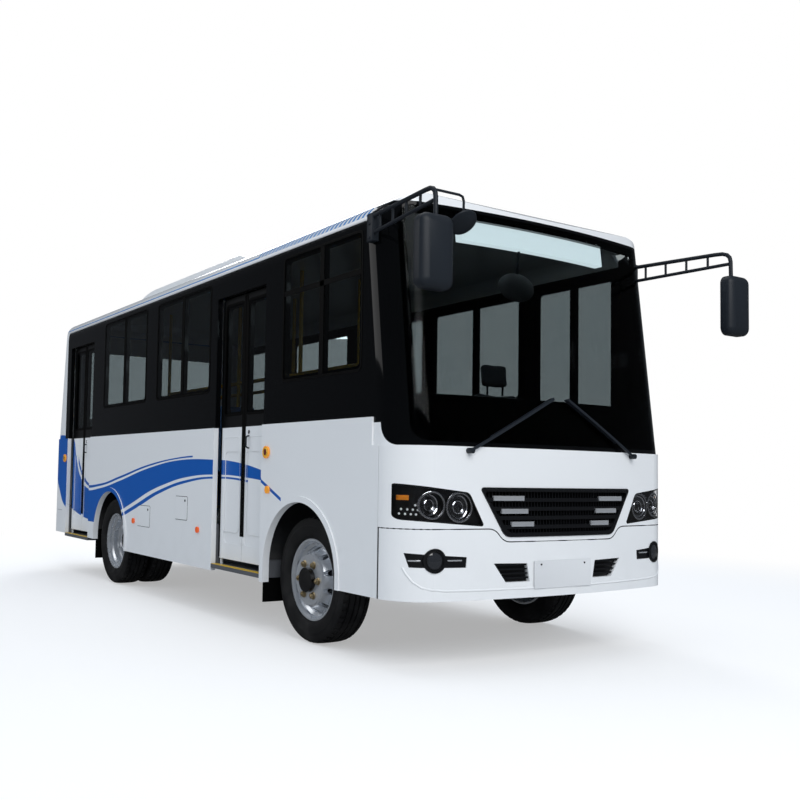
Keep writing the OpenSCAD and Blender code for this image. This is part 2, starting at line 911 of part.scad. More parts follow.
module disc_mirror() {
  top = gutter_z - 45;
  box(head_x - 32, head_x - 32 + disc_bar, -head_y + 10, -disc_y + disc_bar / 2, top, top + disc_bar);
  box(head_x - 32, head_x - 32 + disc_bar, -disc_y - disc_bar / 2, -disc_y + disc_bar / 2, disc_z,
    top + disc_bar);
  translate([head_x - 32, -disc_y, disc_z]) rotate([0, -90 + disc_lean, 0]) translate([0, 0, -disc_t / 2])
    cylinder(r = disc_r, h = disc_t);
}
module mirrors() {
  color("#26282b") datum() {
    both_sides() mirror_head();
    disc_mirror();
  }
}

dash_y = cabin_y - 20;
dash_back = 760;
// Side outline of the dashboard
DASH_SIDE = [[dash_back, floor_z], [dash_back, floor_z + 400], [dash_back + 90, floor_z + 490],
             [front_x, floor_z + 550], [front_x, floor_z]];
module dash_block(rise) { slab(-dash_y, 2 * dash_y) translate([0, rise]) polygon(DASH_SIDE); }
entry_x = 900;        // the dashboard's right part stands ahead of this
entry_y = 150;
module dashboard() {
  color("#2d2f33") datum() difference() {
    intersection() {
      front_prism(belt_step + wall_t + fit_gap);
      dash_block(0);
      translate([0, 0, floor_z]) linear_extrude(far) plan(bowl_d + fit_gap);
    }
    box(0, entry_x, -half_w, entry_y, floor_z - 1, floor_z + 500);
  }
}

wheel_at = [690, 560, floor_z + 640];
wheel_lean = -28;
wheel_ring_r = 205;
wheel_grip_r = 14;
wheel_hub_r = 48;
SPOKES = [90, 210, 330];
column_r = 26;
column_l = 340;
module steering_wheel() {
  color("#1a1a1a") datum() {
    translate(wheel_at) rotate([0, wheel_lean, 0]) {
      rotate_extrude($fn = 64) translate([wheel_ring_r, 0]) circle(wheel_grip_r, $fn = 24);
      translate([0, 0, -30]) cylinder(r = wheel_hub_r, h = 40);
      for (a = SPOKES) rotate([0, 0, a]) translate([0, -wheel_grip_r, -8])
        cube([wheel_ring_r - 5, 2 * wheel_grip_r, wheel_grip_r]);
    }
    difference() {
      translate(wheel_at) rotate([0, wheel_lean, 0]) translate([0, 0, -20 - column_l])
        cylinder(r = column_r, h = column_l);
      dash_block(fit_gap);
    }
  }
}

// Driver's seat: inner side, width, side outlines of cushion with back and of the headrest
driver_y = 330;
driver_w = 450;
rest_in = 100;
PEDESTAL = [80, 520];
pedestal_w = 200;
DRIVER_SIDE = [[60, 310], [560, 310], [560, 420], [170, 400], [60, 1030], [-40, 1030]];
REST_SIDE = [[-42, 1045], [48, 1045], [20, 1240], [-60, 1240]];
POSTS = [140, 290];
post_w = 20;
module driver_seat() {
  color("#3a3d42") datum() translate([0, driver_y, floor_z]) {
    box(PEDESTAL[0], PEDESTAL[1], 0, pedestal_w, 0, DRIVER_SIDE[0][1]);
    slab(0, driver_w) polygon(DRIVER_SIDE);
    slab(rest_in, driver_w - 2 * rest_in) polygon(REST_SIDE);
    for (y = POSTS) box(-20, 30, y, y + post_w, DRIVER_SIDE[4][1] - 10, REST_SIDE[0][1] + 5);
  }
}

// Passenger seats: x of the seat's front, inner edge, outer edge
seat_out = cabin_y - 20;
seat_w = 740;
door_seat_w = 640;
seat_in = seat_out - seat_w;
SEATS = [[-620, seat_in, seat_out], [-1400, seat_in, seat_out], [-2180, seat_in, seat_out],
         [rear_axle_x - 540, seat_in, seat_out], [rear_axle_x - 1230, seat_in, seat_out],
         [-1500, -seat_out, door_seat_w - seat_out], [-2350, -seat_out, door_seat_w - seat_out]];
// Side outlines of the seat's pad and back, from its front and the floor
SEAT_PAD = [[0, 400], [0, 435], [-360, 425], [-400, 390]];
SEAT_BACK = [[-360 - fit_gap, 425], [-440, 950], [-475, 950], [-400 - fit_gap, 390]];
SEAT_LEG = [[-100, 0], [-100, 397], [-300, 392], [-300, 0]];
leg_w = 60;
module passenger_seats() {
  color("#2c6fb0") datum() for (s = SEATS) translate([s[0], 0, floor_z]) {
    slab(s[1], s[2] - s[1]) polygon(SEAT_PAD);
    slab(s[1], s[2] - s[1]) polygon(SEAT_BACK);
    slab((s[1] + s[2] - leg_w) / 2, leg_w) polygon(SEAT_LEG);
  }
}

pole_r = 17;
pole_y = 290;
grab_z = 1900;
function ceiling_z(y) = crown_z + sqrt(pow(crown_r - roof_t, 2) - pow(y, 2)) - fit_gap;
// Poles along each side, from the front
pole_rear_x = rear_axle_x - 580;
RIGHT_POLES = [-440, -1400, -2500, pole_rear_x];
LEFT_POLES = [-1400, -2500, pole_rear_x];
module pole_row(xs, y) {
  for (x = xs) translate([x, y, floor_z]) cylinder(r = pole_r, h = ceiling_z(abs(y) + pole_r) - floor_z);
  for (i = [1:len(xs) - 1])
    rod([xs[i] + pole_r + fit_gap, y, grab_z], [xs[i - 1] - pole_r - fit_gap, y, grab_z], pole_r);
}
module handrails() {
  color("#e8c020") datum() {
    pole_row(RIGHT_POLES, -pole_y);
    pole_row(LEFT_POLES, pole_y);
  }
}

// Small round side fittings: x, z, radius
DOOR_BUTTONS = [[front_door_x + door_w + 80, 1227, 42], [rear_door_x - 65, 1205, 42]];
MARKERS = [[front_door_x + door_w + 105, 972, 26], [rear_axle_x + 652, 632, 24], [front_door_x - 241, 634, 24]];
fitting_t = 14;
module side_discs(fittings) {
  for (f = fittings) translate([f[0], -half_w, f[1]]) rotate([90, 0, 0]) cylinder(r = f[2], h = fitting_t);
}
module side_lamps() {
  color("orange") datum() {
    side_discs(DOOR_BUTTONS);
    both_sides() side_discs(MARKERS);
  }
}

flap_t = 12;
flap_z0 = 200;
flap_y0 = half_w - 290;
flap_y1 = half_w - wall_t;
// Flap behind a wheel, hung with its top at z1
module flap(x, z1) { box(x - flap_t, x, -flap_y1, -flap_y0, flap_z0, z1); }
module mud_flaps() {
  color("#202020") datum() {
    flap(front_door_x + door_w - 3, step_z - tread_t);
    mirror([0, 1, 0]) flap(house_back(0), rail_z0 + 30);
    both_sides() flap(house_back(1), rail_z0 + 30);
  }
}
// Rear face of a wheel house
function house_back(i) = HOUSES[i][0] - HOUSES[i][1] - house_t;

// Step wells: outer, inner edge of the low step
well_in = -half_w + 480;
step_in = -half_w + 720;   // inner edge of the upper step
mid_step_z = (floor_z + step_z) / 2;
tread_t = 30;
riser_t = 10;
module floor() {
  color("#55585c") datum() difference() {
    union() {
      difference() {
        translate([0, 0, floor_z - floor_t]) linear_extrude(floor_t) intersection() {
          plan(wall_t);
          translate([rear_split, -far / 2]) square([front_split - rear_split, far]);
        }
        for (x = DOORS) box(x, x + door_w, -far, step_in, 0, far);
        for (h = HOUSES, s = [-1, 1])
          box(h[0] - h[1] - house_t, h[0] + h[1] + house_t, s > 0 ? h[2] - house_t : -far,
              s > 0 ? far : -h[2] + house_t, 0, far);
      }
      for (x = DOORS) {
        box(x, x + door_w, -half_w, well_in, step_z - tread_t, step_z);
        box(x, x + door_w, well_in - riser_t, well_in, step_z - tread_t, mid_step_z);
        box(x, x + door_w, well_in - riser_t, step_in, mid_step_z - tread_t, mid_step_z);
        box(x, x + door_w, step_in - riser_t, step_in, mid_step_z - tread_t, floor_z);
        for (e = [x - riser_t, x + door_w])
          box(e, e + riser_t, -cabin_y, step_in, step_z - tread_t, floor_z);
      }
    }
    at_hinges() translate([0, 0, step_z - tread_t - 1]) cylinder(r = pin_r + run_gap, h = tread_t + 2);
  }
}

module wheel_houses() {
  color("#3c3e42") datum() both_sides() for (h = HOUSES) difference() {
    box(h[0] - h[1] - house_t, h[0] + h[1] + house_t, -cabin_y, -h[2] + house_t, rail_z0, h[3] + house_t);
    box(h[0] - h[1], h[0] + h[1], -far, -h[2], 0, h[3]);
  }
}

// Cross members of the frame, by x
CROSS = [950, 560, -700, -1500, rear_axle_x + 590, rear_axle_x - 610, rear_axle_x - 1510];
cross_half = 40;
cross_z0 = rail_z0 + 70;
web_t = 8;
cross_y = rail_y + rail_w / 2 - web_t - fit_gap;
rail_x0 = rear_x + 130;
rail_x1 = front_x - 165;
beam_t = 50;
beam_y = half_w - 480;
beam_in = 20;         // the end beams stand in from the rails' flanges
tow_r = 22;
tow_t = 30;
tow_half = 45;
// Towing plate on an end beam's inner face at x, reaching inwards, with an upright eye
module tow_plate(x, to) {
  translate([x, 0, rail_z0 + beam_in]) difference() {
    union() {
      box(to < 0 ? -tow_half : -1, to < 0 ? 1 : tow_half, -tow_half, tow_half, 0, tow_t);
      translate([to * tow_half, 0, 0]) cylinder(r = tow_half, h = tow_t);
    }
    translate([to * tow_half, 0, -1]) cylinder(r = tow_r, h = tow_t + 2);
  }
}
bracket_y = beam_y - 80;
bracket_z0 = rail_z0 + 50;
bracket_h = 80;
// Bracket from the front beam to the bumper's inner face
module bumper_bracket() {
  translate([0, 0, bracket_z0]) linear_extrude(bracket_h) intersection() {
    plan(wall_t + fit_gap);
    translate([rail_x1 + beam_t - 1, -beam_y]) square([far, beam_y - bracket_y]);
  }
}
module chassis_frame() {
  color("#222426") datum() {
    both_sides() difference() {
      box(rail_x0, rail_x1, -rail_y - rail_w / 2, -rail_y + rail_w / 2, rail_z0, rail_z1);
      box(rail_x0 - 1, rail_x1 + 1, -rail_y - rail_w / 2 + web_t, 0, rail_z0 + web_t, rail_z1 - web_t);
    }
    for (x = CROSS) box(x - cross_half, x + cross_half, -cross_y, cross_y, cross_z0, rail_z1 - web_t - fit_gap);
    for (to = [-1, 1]) {
      x = to < 0 ? rail_x1 + fit_gap : rail_x0 - fit_gap;
      translate([to < 0 ? x : x - beam_t, 0, 0])
        box(0, beam_t, -beam_y, beam_y, rail_z0 + beam_in, rail_z1 - beam_in);
      tow_plate(x, to);
    }
    both_sides() bumper_bracket();
  }
}

// Battery packs: ends, distance in from the sides, underside, gap below the floor
pack_rear = 690;
pack_front = -1400;
pack_in = 130;
pack_z = 400;
pack_gap = 20;
module battery_packs() {
  color("#7a7f85") datum() both_sides()
    box(rear_axle_x + pack_rear, pack_front, -half_w + pack_in, -rail_y - rail_w / 2, pack_z,
      rail_z1 - pack_gap);
}

motor_r = 130;
motor_x0 = rear_axle_x + 1040;
motor_l = 560;
drive_z = axle_z + 20;
shaft_r = 42;
pinion_l = 260;
module drive_motor() {
  color("#8a8d90") datum() {
    translate([motor_x0, 0, drive_z]) rotate([0, 90, 0]) cylinder(r = motor_r, h = motor_l);
    box(motor_x0 + 140, motor_x0 + 260, -rail_y + rail_w / 2, rail_y - rail_w / 2, rail_z0 - 20, rail_z0 + 40);
    translate([rear_axle_x + pinion_l + fit_gap, 0, drive_z]) rotate([0, 90, 0])
      cylinder(r = shaft_r, h = motor_x0 - rear_axle_x - pinion_l + 10);
  }
}

boss_r = 42;
neck_l = 160;         // shallow ends of the beam, over the steering arms
neck_half = 38;
beam_half = 45;
beam_lo = 75;
beam_hi = 15;
flute = 26;           // depth of the beam's flutes
flute_z0 = 55;
flute_z1 = 5;
module front_axle() {
  color("#333538") datum() both_sides() translate([0, 0, axle_z]) difference() {
    union() {
      box(-beam_half, beam_half, neck_l - kingpin_y, 0, -beam_lo, beam_hi);
      box(-seat_half, seat_half, -spring_y - spring_w / 2, -spring_y + spring_w / 2, -20, front_seat_z);
      translate([0, -kingpin_y, -boss_half]) cylinder(r = boss_r, h = 2 * boss_half);
      box(-neck_half, neck_half, -kingpin_y, neck_l - kingpin_y + 1, -boss_half + 5, beam_hi);
    }
    for (x = [-beam_half - 1, beam_half + 1 - flute])
      box(x, x + flute, neck_l + 20 - kingpin_y, -40, -flute_z0, -flute_z1);
    translate([0, -kingpin_y, -far / 2]) cylinder(r = kingpin_r + run_gap, h = far);
  }
}

ear_t = 38;
ear_r = 40;
ear_l = 80;
arm_half = 16;
eye_r = 28;
ball_r = 11;
block_half = 55;
block_in = 48;        // knuckle block outside the kingpin
block_out = 85;
spindle_in = 60;
ear_low = axle_z - boss_half - fit_gap - ear_t;
// Knuckle on the right: fork ears, kingpin, spindle and, in the lower ear's plane, the steering arm;
// slack widens the ball pin's hole
module knuckle(slack) {
  translate([0, -kingpin_y, ear_low]) linear_extrude(ear_t) difference() {
    union() {
      ear();
      translate([arm_x, -arm_half]) square([-arm_x, 2 * arm_half]);
      translate([arm_x, 0]) circle(eye_r);
    }
    translate([arm_x, 0]) circle(ball_r + slack);
  }
  translate([0, -kingpin_y, axle_z + boss_half + fit_gap]) linear_extrude(ear_t) ear();
  translate([0, -kingpin_y, ear_low + 5]) cylinder(r = kingpin_r, h = 2 * (boss_half + ear_t) - 10);
  box(-block_half, block_half, -kingpin_y - block_out, -kingpin_y - block_in, ear_low,
    axle_z + boss_half + fit_gap + ear_t);
  translate([0, -kingpin_y - spindle_in, axle_z]) rotate([90, 0, 0])
    cylinder(r = spindle_r, h = front_wheel_y - kingpin_y + bore_t - fit_gap - spindle_in);
}
module ear() {
  circle(ear_r);
  translate([-ear_r, -ear_l]) square([2 * ear_r, ear_l]);
}

module knuckle_right() { color("#4a4d50") datum() knuckle(open_gap); }
module knuckle_left() { color("#4a4d50") datum() mirror([0, 1, 0]) knuckle(run_gap); }

rod_r = 13;
socket_r = 24;
socket_h = 32;
rod_top = ear_low - fit_gap;
module tie_rod() {
  color("#4a4d50") datum() {
    rod([arm_x, -kingpin_y, rod_top - socket_h / 2], [arm_x, kingpin_y, rod_top - socket_h / 2], rod_r);
    both_sides() translate([arm_x, -kingpin_y, rod_top - socket_h]) {
      cylinder(r = socket_r, h = socket_h);
      cylinder(r = ball_r, h = socket_h + ear_t);
    }
  }
}

// Wheel parts turn about Y; t runs outwards from the wheel's middle
module turned(y) { translate([0, y, axle_z]) rotate([-90, 0, 0]) rotate_extrude($fn = 96) children(); }

module rim_barrel() {
  polygon([[flange_r, -rim_half], [flange_r, -bead_half], [bead_r, -bead_half], [bead_r, -48], [228, -36],
    [228, 30], [bead_r, 44], [bead_r, bead_half], [flange_r, bead_half], [flange_r, rim_half],
    [250, rim_half], [236, 70], [236, 50], [216, 36], [216, -40], [236, -54], [236, -70], [250, -rim_half]]);
}

// Disc from the barrel out to the hub face at height t
module rim_disc(t) {
  polygon([[218, 8], [218, 26], [205, 34], [172, t - 12], [160, t], [60, t], [60, t - 14], [154, t - 14],
    [192, 22], [205, 8]]);
}

module tyre_section() {
  h = tyre_w / 2;
  polygon([[bead_r + fit_gap, -bead_half + fit_gap], [flange_r + 0.5, -bead_half + fit_gap],
    [flange_r + 0.5, -96], [300, -h + 2], [345, -h], [385, -104], [tyre_r - 4, -90], [tyre_r, -70],
    [tyre_r, 70], [tyre_r - 4, 90], [385, 104], [345, h], [300, h - 2], [flange_r + 0.5, 96],
    [flange_r + 0.5, bead_half - fit_gap], [bead_r + fit_gap, bead_half - fit_gap]]);
}

hole_n = 10;
stud_n = 6;
stud_pcd = 222.25;
module front_rim() {
  difference() {
    union() {
      turned(front_wheel_y) {
        rim_barrel();
        rim_disc(face_t);
        square_from(0, 78, face_t - 90, face_t + 30);
        square_from(186, 200, -50, 20);
        square_from(70, 200, 8, 20);
      }
      studs(front_wheel_y + face_t, 111, 16);
    }
    hand_holes(front_wheel_y, 188, 20, far);
    translate([0, 0, axle_z]) rotate([-90, 0, 0])
      cylinder(r = spindle_r + run_gap, h = front_wheel_y + bore_t);
  }
}

module square_from(r0, r1, t0, t1) { translate([r0, t0]) square([r1 - r0, t1 - t0]); }

module studs(y, r, h) {
  for (i = [0:stud_n - 1]) translate([0, y - 2, axle_z]) rotate([-90, 360 * i / stud_n, 0])
    translate([r, 0, 0]) cylinder(r = 16, h = h + 2, $fn = 6);
}

module hand_holes(y, r, hole_r, depth) {
  for (i = [0:hole_n - 1]) translate([0, y + 22, axle_z]) rotate([-90, 360 * (i + 0.5) / hole_n, 0])
    translate([r, 0, 0]) cylinder(r = hole_r, h = depth);
}

module rear_rims() {
  difference() {
    union() {
      turned(rear_wheel_y) {
        rim_barrel();
        mirror([0, 1]) rim_disc(twin_gap / 2);
      }
      turned(rear_wheel_y - twin_gap) {
        rim_barrel();
        rim_disc(twin_gap / 2);
      }
      turned(twin_mid) {
        square_from(0, 92, -130, 130);
        square_from(80, 170, -20, 20);
      }
      studs(twin_mid + 20, 111, 14);
    }
    translate([0, 0, axle_z]) rotate([-90, 0, 0]) cylinder(r = rear_spindle_r + run_gap, h = twin_mid + 80);
    for (i = [0:hole_n - 1]) translate([0, twin_mid - 60, axle_z])
      rotate([-90, 360 * (i + 0.5) / hole_n, 0]) translate([190, 0, 0]) cylinder(r = 18, h = 120);
  }
}

module at_rear() { translate([rear_axle_x, 0, 0]) children(); }

module front_rim_right() { color("silver") datum() mirror([0, 1, 0]) front_rim(); }
module front_rim_left() { color("silver") datum() front_rim(); }
module front_tyre_right() { color("#1c1c1c") datum() mirror([0, 1, 0]) turned(front_wheel_y) tyre_section(); }
module front_tyre_left() { color("#1c1c1c") datum() turned(front_wheel_y) tyre_section(); }
module twin_tyres() {
  turned(rear_wheel_y) tyre_section();
  turned(rear_wheel_y - twin_gap) tyre_section();
}
module rear_rims_right() { color("silver") datum() at_rear() mirror([0, 1, 0]) rear_rims(); }
module rear_rims_left() { color("silver") datum() at_rear() rear_rims(); }
module rear_tyres_right() { color("#1c1c1c") datum() at_rear() mirror([0, 1, 0]) twin_tyres(); }
module rear_tyres_left() { color("#1c1c1c") datum() at_rear() twin_tyres(); }

axle_tube_r = 62;
tube_half = rear_wheel_y - twin_gap - tyre_w / 2 - 27;
diff_r = 185;
diff_half = 110;
pinion_r = 70;
module rear_axle() {
  color("#333538") datum() at_rear() {
    translate([0, -tube_half, axle_z]) rotate([-90, 0, 0]) cylinder(r = axle_tube_r, h = 2 * tube_half);
    translate([0, -diff_half, axle_z]) rotate([-90, 0, 0]) cylinder(r = diff_r, h = 2 * diff_half);
    translate([0, 0, drive_z]) rotate([0, 90, 0]) cylinder(r = pinion_r, h = pinion_l);
    both_sides() {
      translate([0, -twin_mid - 70, axle_z]) rotate([-90, 0, 0]) cylinder(r = rear_spindle_r, h = twin_mid);
      box(-seat_half, seat_half, -spring_y - spring_w / 2, -spring_y + spring_w / 2, axle_z,
        axle_z + rear_seat_z);
    }
  }
}

// Arched leaf packs with their hangers, outside the frame rails: x, height of the seat, half length
SPRINGS = [[0, axle_z + front_seat_z, 430], [rear_axle_x, axle_z + rear_seat_z, 560]];
hanger_half = 35;
module leaf_springs() {
  color("#2a2c2e") datum() both_sides() for (s = SPRINGS) {
    slab(-spring_y - spring_w / 2, spring_w) intersection() {
      translate([s[0], s[1] + leaf_r]) difference() {
        circle(leaf_r, $fn = 360);
        circle(leaf_r - leaf_pack, $fn = 360);
      }
      translate([s[0] - s[2], 0]) square([2 * s[2], axle_z + 600]);
    }
    for (e = [-1, 1]) box(s[0] + e * s[2] - hanger_half, s[0] + e * s[2] + hanger_half,
      -spring_y - spring_w / 2, -rail_y - rail_w / 2, s[1] + leaf_pack, rail_z1 - 10);
  }
}

// Door leaf, with its hinge at the origin in X and Y and the leaf along +X
pane_z0 = belt_z + 91;
pane_z1 = leaf_z1 - 47;
stile = 62;
tip = leaf_w - leaf_t / 2;
module leaf() {
  difference() {
    union() {
      cylinder(r = leaf_t / 2, h = leaf_z1 - leaf_z0);
      translate([0, -leaf_t / 2, 0]) cube([tip, leaf_t, leaf_z1 - leaf_z0]);
      translate([0, 0, -pin_h - 30]) cylinder(r = pin_r, h = leaf_z1 - leaf_z0 + 2 * pin_h + 40);
    }
    translate([0, 0, -leaf_z0]) {
      slab(-leaf_t, 2 * leaf_t) leaf_pane(glass_lip);
      slab(-leaf_t / 2 - 1, glass_t + 1) leaf_pane(0);
      slab(-leaf_t / 2 - 1, 6 + 1) round_rect(stile, leaf_z0 + 120, tip - stile / 2, belt_z - 180, 30);
    }
  }
}

module leaf_pane(d) { round_rect(stile / 2 + d, pane_z0 + d, tip - stile / 2 - d, pane_z1 - d, 35 - d / 2); }

module leaf_glass() { translate([0, 0, -leaf_z0]) slab(-leaf_t / 2, glass_t) leaf_pane(0); }

// Places of the leaves: the rear leaf opens from the rear jamb, the front one is its mirror image
module rear_leaf(x) { translate([x + hinge_in, hinge_y, leaf_z0]) children(); }
module front_leaf(x) { translate([x + door_w - hinge_in, hinge_y, leaf_z0]) mirror([1, 0, 0]) children(); }

module front_door_rear_leaf() { color("white") datum() rear_leaf(front_door_x) leaf(); }
module front_door_front_leaf() { color("white") datum() front_leaf(front_door_x) leaf(); }
module rear_door_rear_leaf() { color("white") datum() rear_leaf(rear_door_x) leaf(); }
module rear_door_front_leaf() { color("white") datum() front_leaf(rear_door_x) leaf(); }
module front_door_rear_glass() { color("#2c3338", 0.6) datum() rear_leaf(front_door_x) leaf_glass(); }
module front_door_front_glass() { color("#2c3338", 0.6) datum() front_leaf(front_door_x) leaf_glass(); }
module rear_door_rear_glass() { color("#2c3338", 0.6) datum() rear_leaf(rear_door_x) leaf_glass(); }
module rear_door_front_glass() { color("#2c3338", 0.6) datum() front_leaf(rear_door_x) leaf_glass(); }

chassis_frame();
floor();
wheel_houses();
right_side_panel();
left_side_panel();
right_window_band();
left_window_band();
side_windows();
roof();
roof_pod();
rear_wall();
rear_window();
rear_bumper();
tail_lamps();
front_panel();
front_bumper();
front_mask();
windscreen();
headlamp_bowls();
headlamp_reflectors();
headlamp_lenses();
grille();
grille_inserts();
fog_lamps();
destination_sign();
wipers();
mirrors();
dashboard();
steering_wheel();
driver_seat();
passenger_seats();
handrails();
side_lamps();
mud_flaps();
battery_packs();
drive_motor();
front_axle();
rear_axle();
leaf_springs();
knuckle_right();
knuckle_left();
tie_rod();
front_rim_right();
front_rim_left();
front_tyre_right();
front_tyre_left();
rear_rims_right();
rear_rims_left();
rear_tyres_right();
rear_tyres_left();
front_door_rear_leaf();
front_door_front_leaf();
rear_door_rear_leaf();
rear_door_front_leaf();
front_door_rear_glass();
front_door_front_glass();
rear_door_rear_glass();
rear_door_front_glass();
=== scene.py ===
"""Looks of the small electric city bus: finishes, fittings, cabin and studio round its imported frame."""
import logging
import math
from dataclasses import dataclass
from enum import Enum
from typing import Callable, ClassVar, Sequence

import bpy
from mathutils import Matrix, Vector


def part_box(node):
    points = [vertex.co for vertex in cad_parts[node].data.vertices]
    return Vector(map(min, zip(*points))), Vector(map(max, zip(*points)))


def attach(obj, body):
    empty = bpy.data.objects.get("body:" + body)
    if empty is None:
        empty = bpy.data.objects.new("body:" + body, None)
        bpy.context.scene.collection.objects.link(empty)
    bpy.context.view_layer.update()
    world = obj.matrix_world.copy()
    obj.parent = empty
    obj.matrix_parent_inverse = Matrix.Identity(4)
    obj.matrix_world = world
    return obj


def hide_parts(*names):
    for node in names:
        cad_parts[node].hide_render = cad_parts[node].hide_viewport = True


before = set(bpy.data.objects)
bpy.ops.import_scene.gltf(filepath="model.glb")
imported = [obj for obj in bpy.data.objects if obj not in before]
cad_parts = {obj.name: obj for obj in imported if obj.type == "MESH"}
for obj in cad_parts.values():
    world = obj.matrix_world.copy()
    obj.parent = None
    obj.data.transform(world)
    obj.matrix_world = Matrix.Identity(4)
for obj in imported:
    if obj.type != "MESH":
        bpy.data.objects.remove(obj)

LOG = logging.getLogger("bus")
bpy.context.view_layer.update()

Colour = tuple[float, float, float]
Pair = tuple[float, float]
Point = Sequence[float]
FaceTest = Callable[[Vector, Vector], bool]
Piece = bpy.types.Object
Socket = bpy.types.NodeSocket
Node = bpy.types.Node
NodeTree = bpy.types.NodeTree

ORIGIN = (0.0, 0.0, 0.0)
# Degrees past which an edge stays sharp, on most pieces and on round bars
SHARP = 35.0
ROUND = 60.0
# Share of a face's normal along a direction, past which the face counts as facing that way
FLAT = 0.9


class Body(Enum):
    """Bodies of the frame that pieces ride on."""

    BUS = "bus"
    FRONT_WHEEL_RIGHT = "front_wheel_right"
    FRONT_WHEEL_LEFT = "front_wheel_left"
    REAR_WHEELS_RIGHT = "rear_wheels_right"
    REAR_WHEELS_LEFT = "rear_wheels_left"
    FRONT_DOOR_REAR = "front_door_rear"
    FRONT_DOOR_FRONT = "front_door_front"
    REAR_DOOR_REAR = "rear_door_rear"
    REAR_DOOR_FRONT = "rear_door_front"


class Axis(Enum):
    """Direction of a turned piece's axis."""

    X = Vector((1, 0, 0))
    Y = Vector((0, 1, 0))


class Side(Enum):
    """Sides of the bus, as the sign of Y."""

    RIGHT = -1
    LEFT = 1

    @property
    def label(self) -> str:
        """Word for the side in names of pieces."""
        return self.name.lower()

    def span(self, near: float, far: float) -> Pair:
        """Lowest and highest Y between two distances from the middle."""
        low, high = sorted((self.value * near, self.value * far))
        return low, high


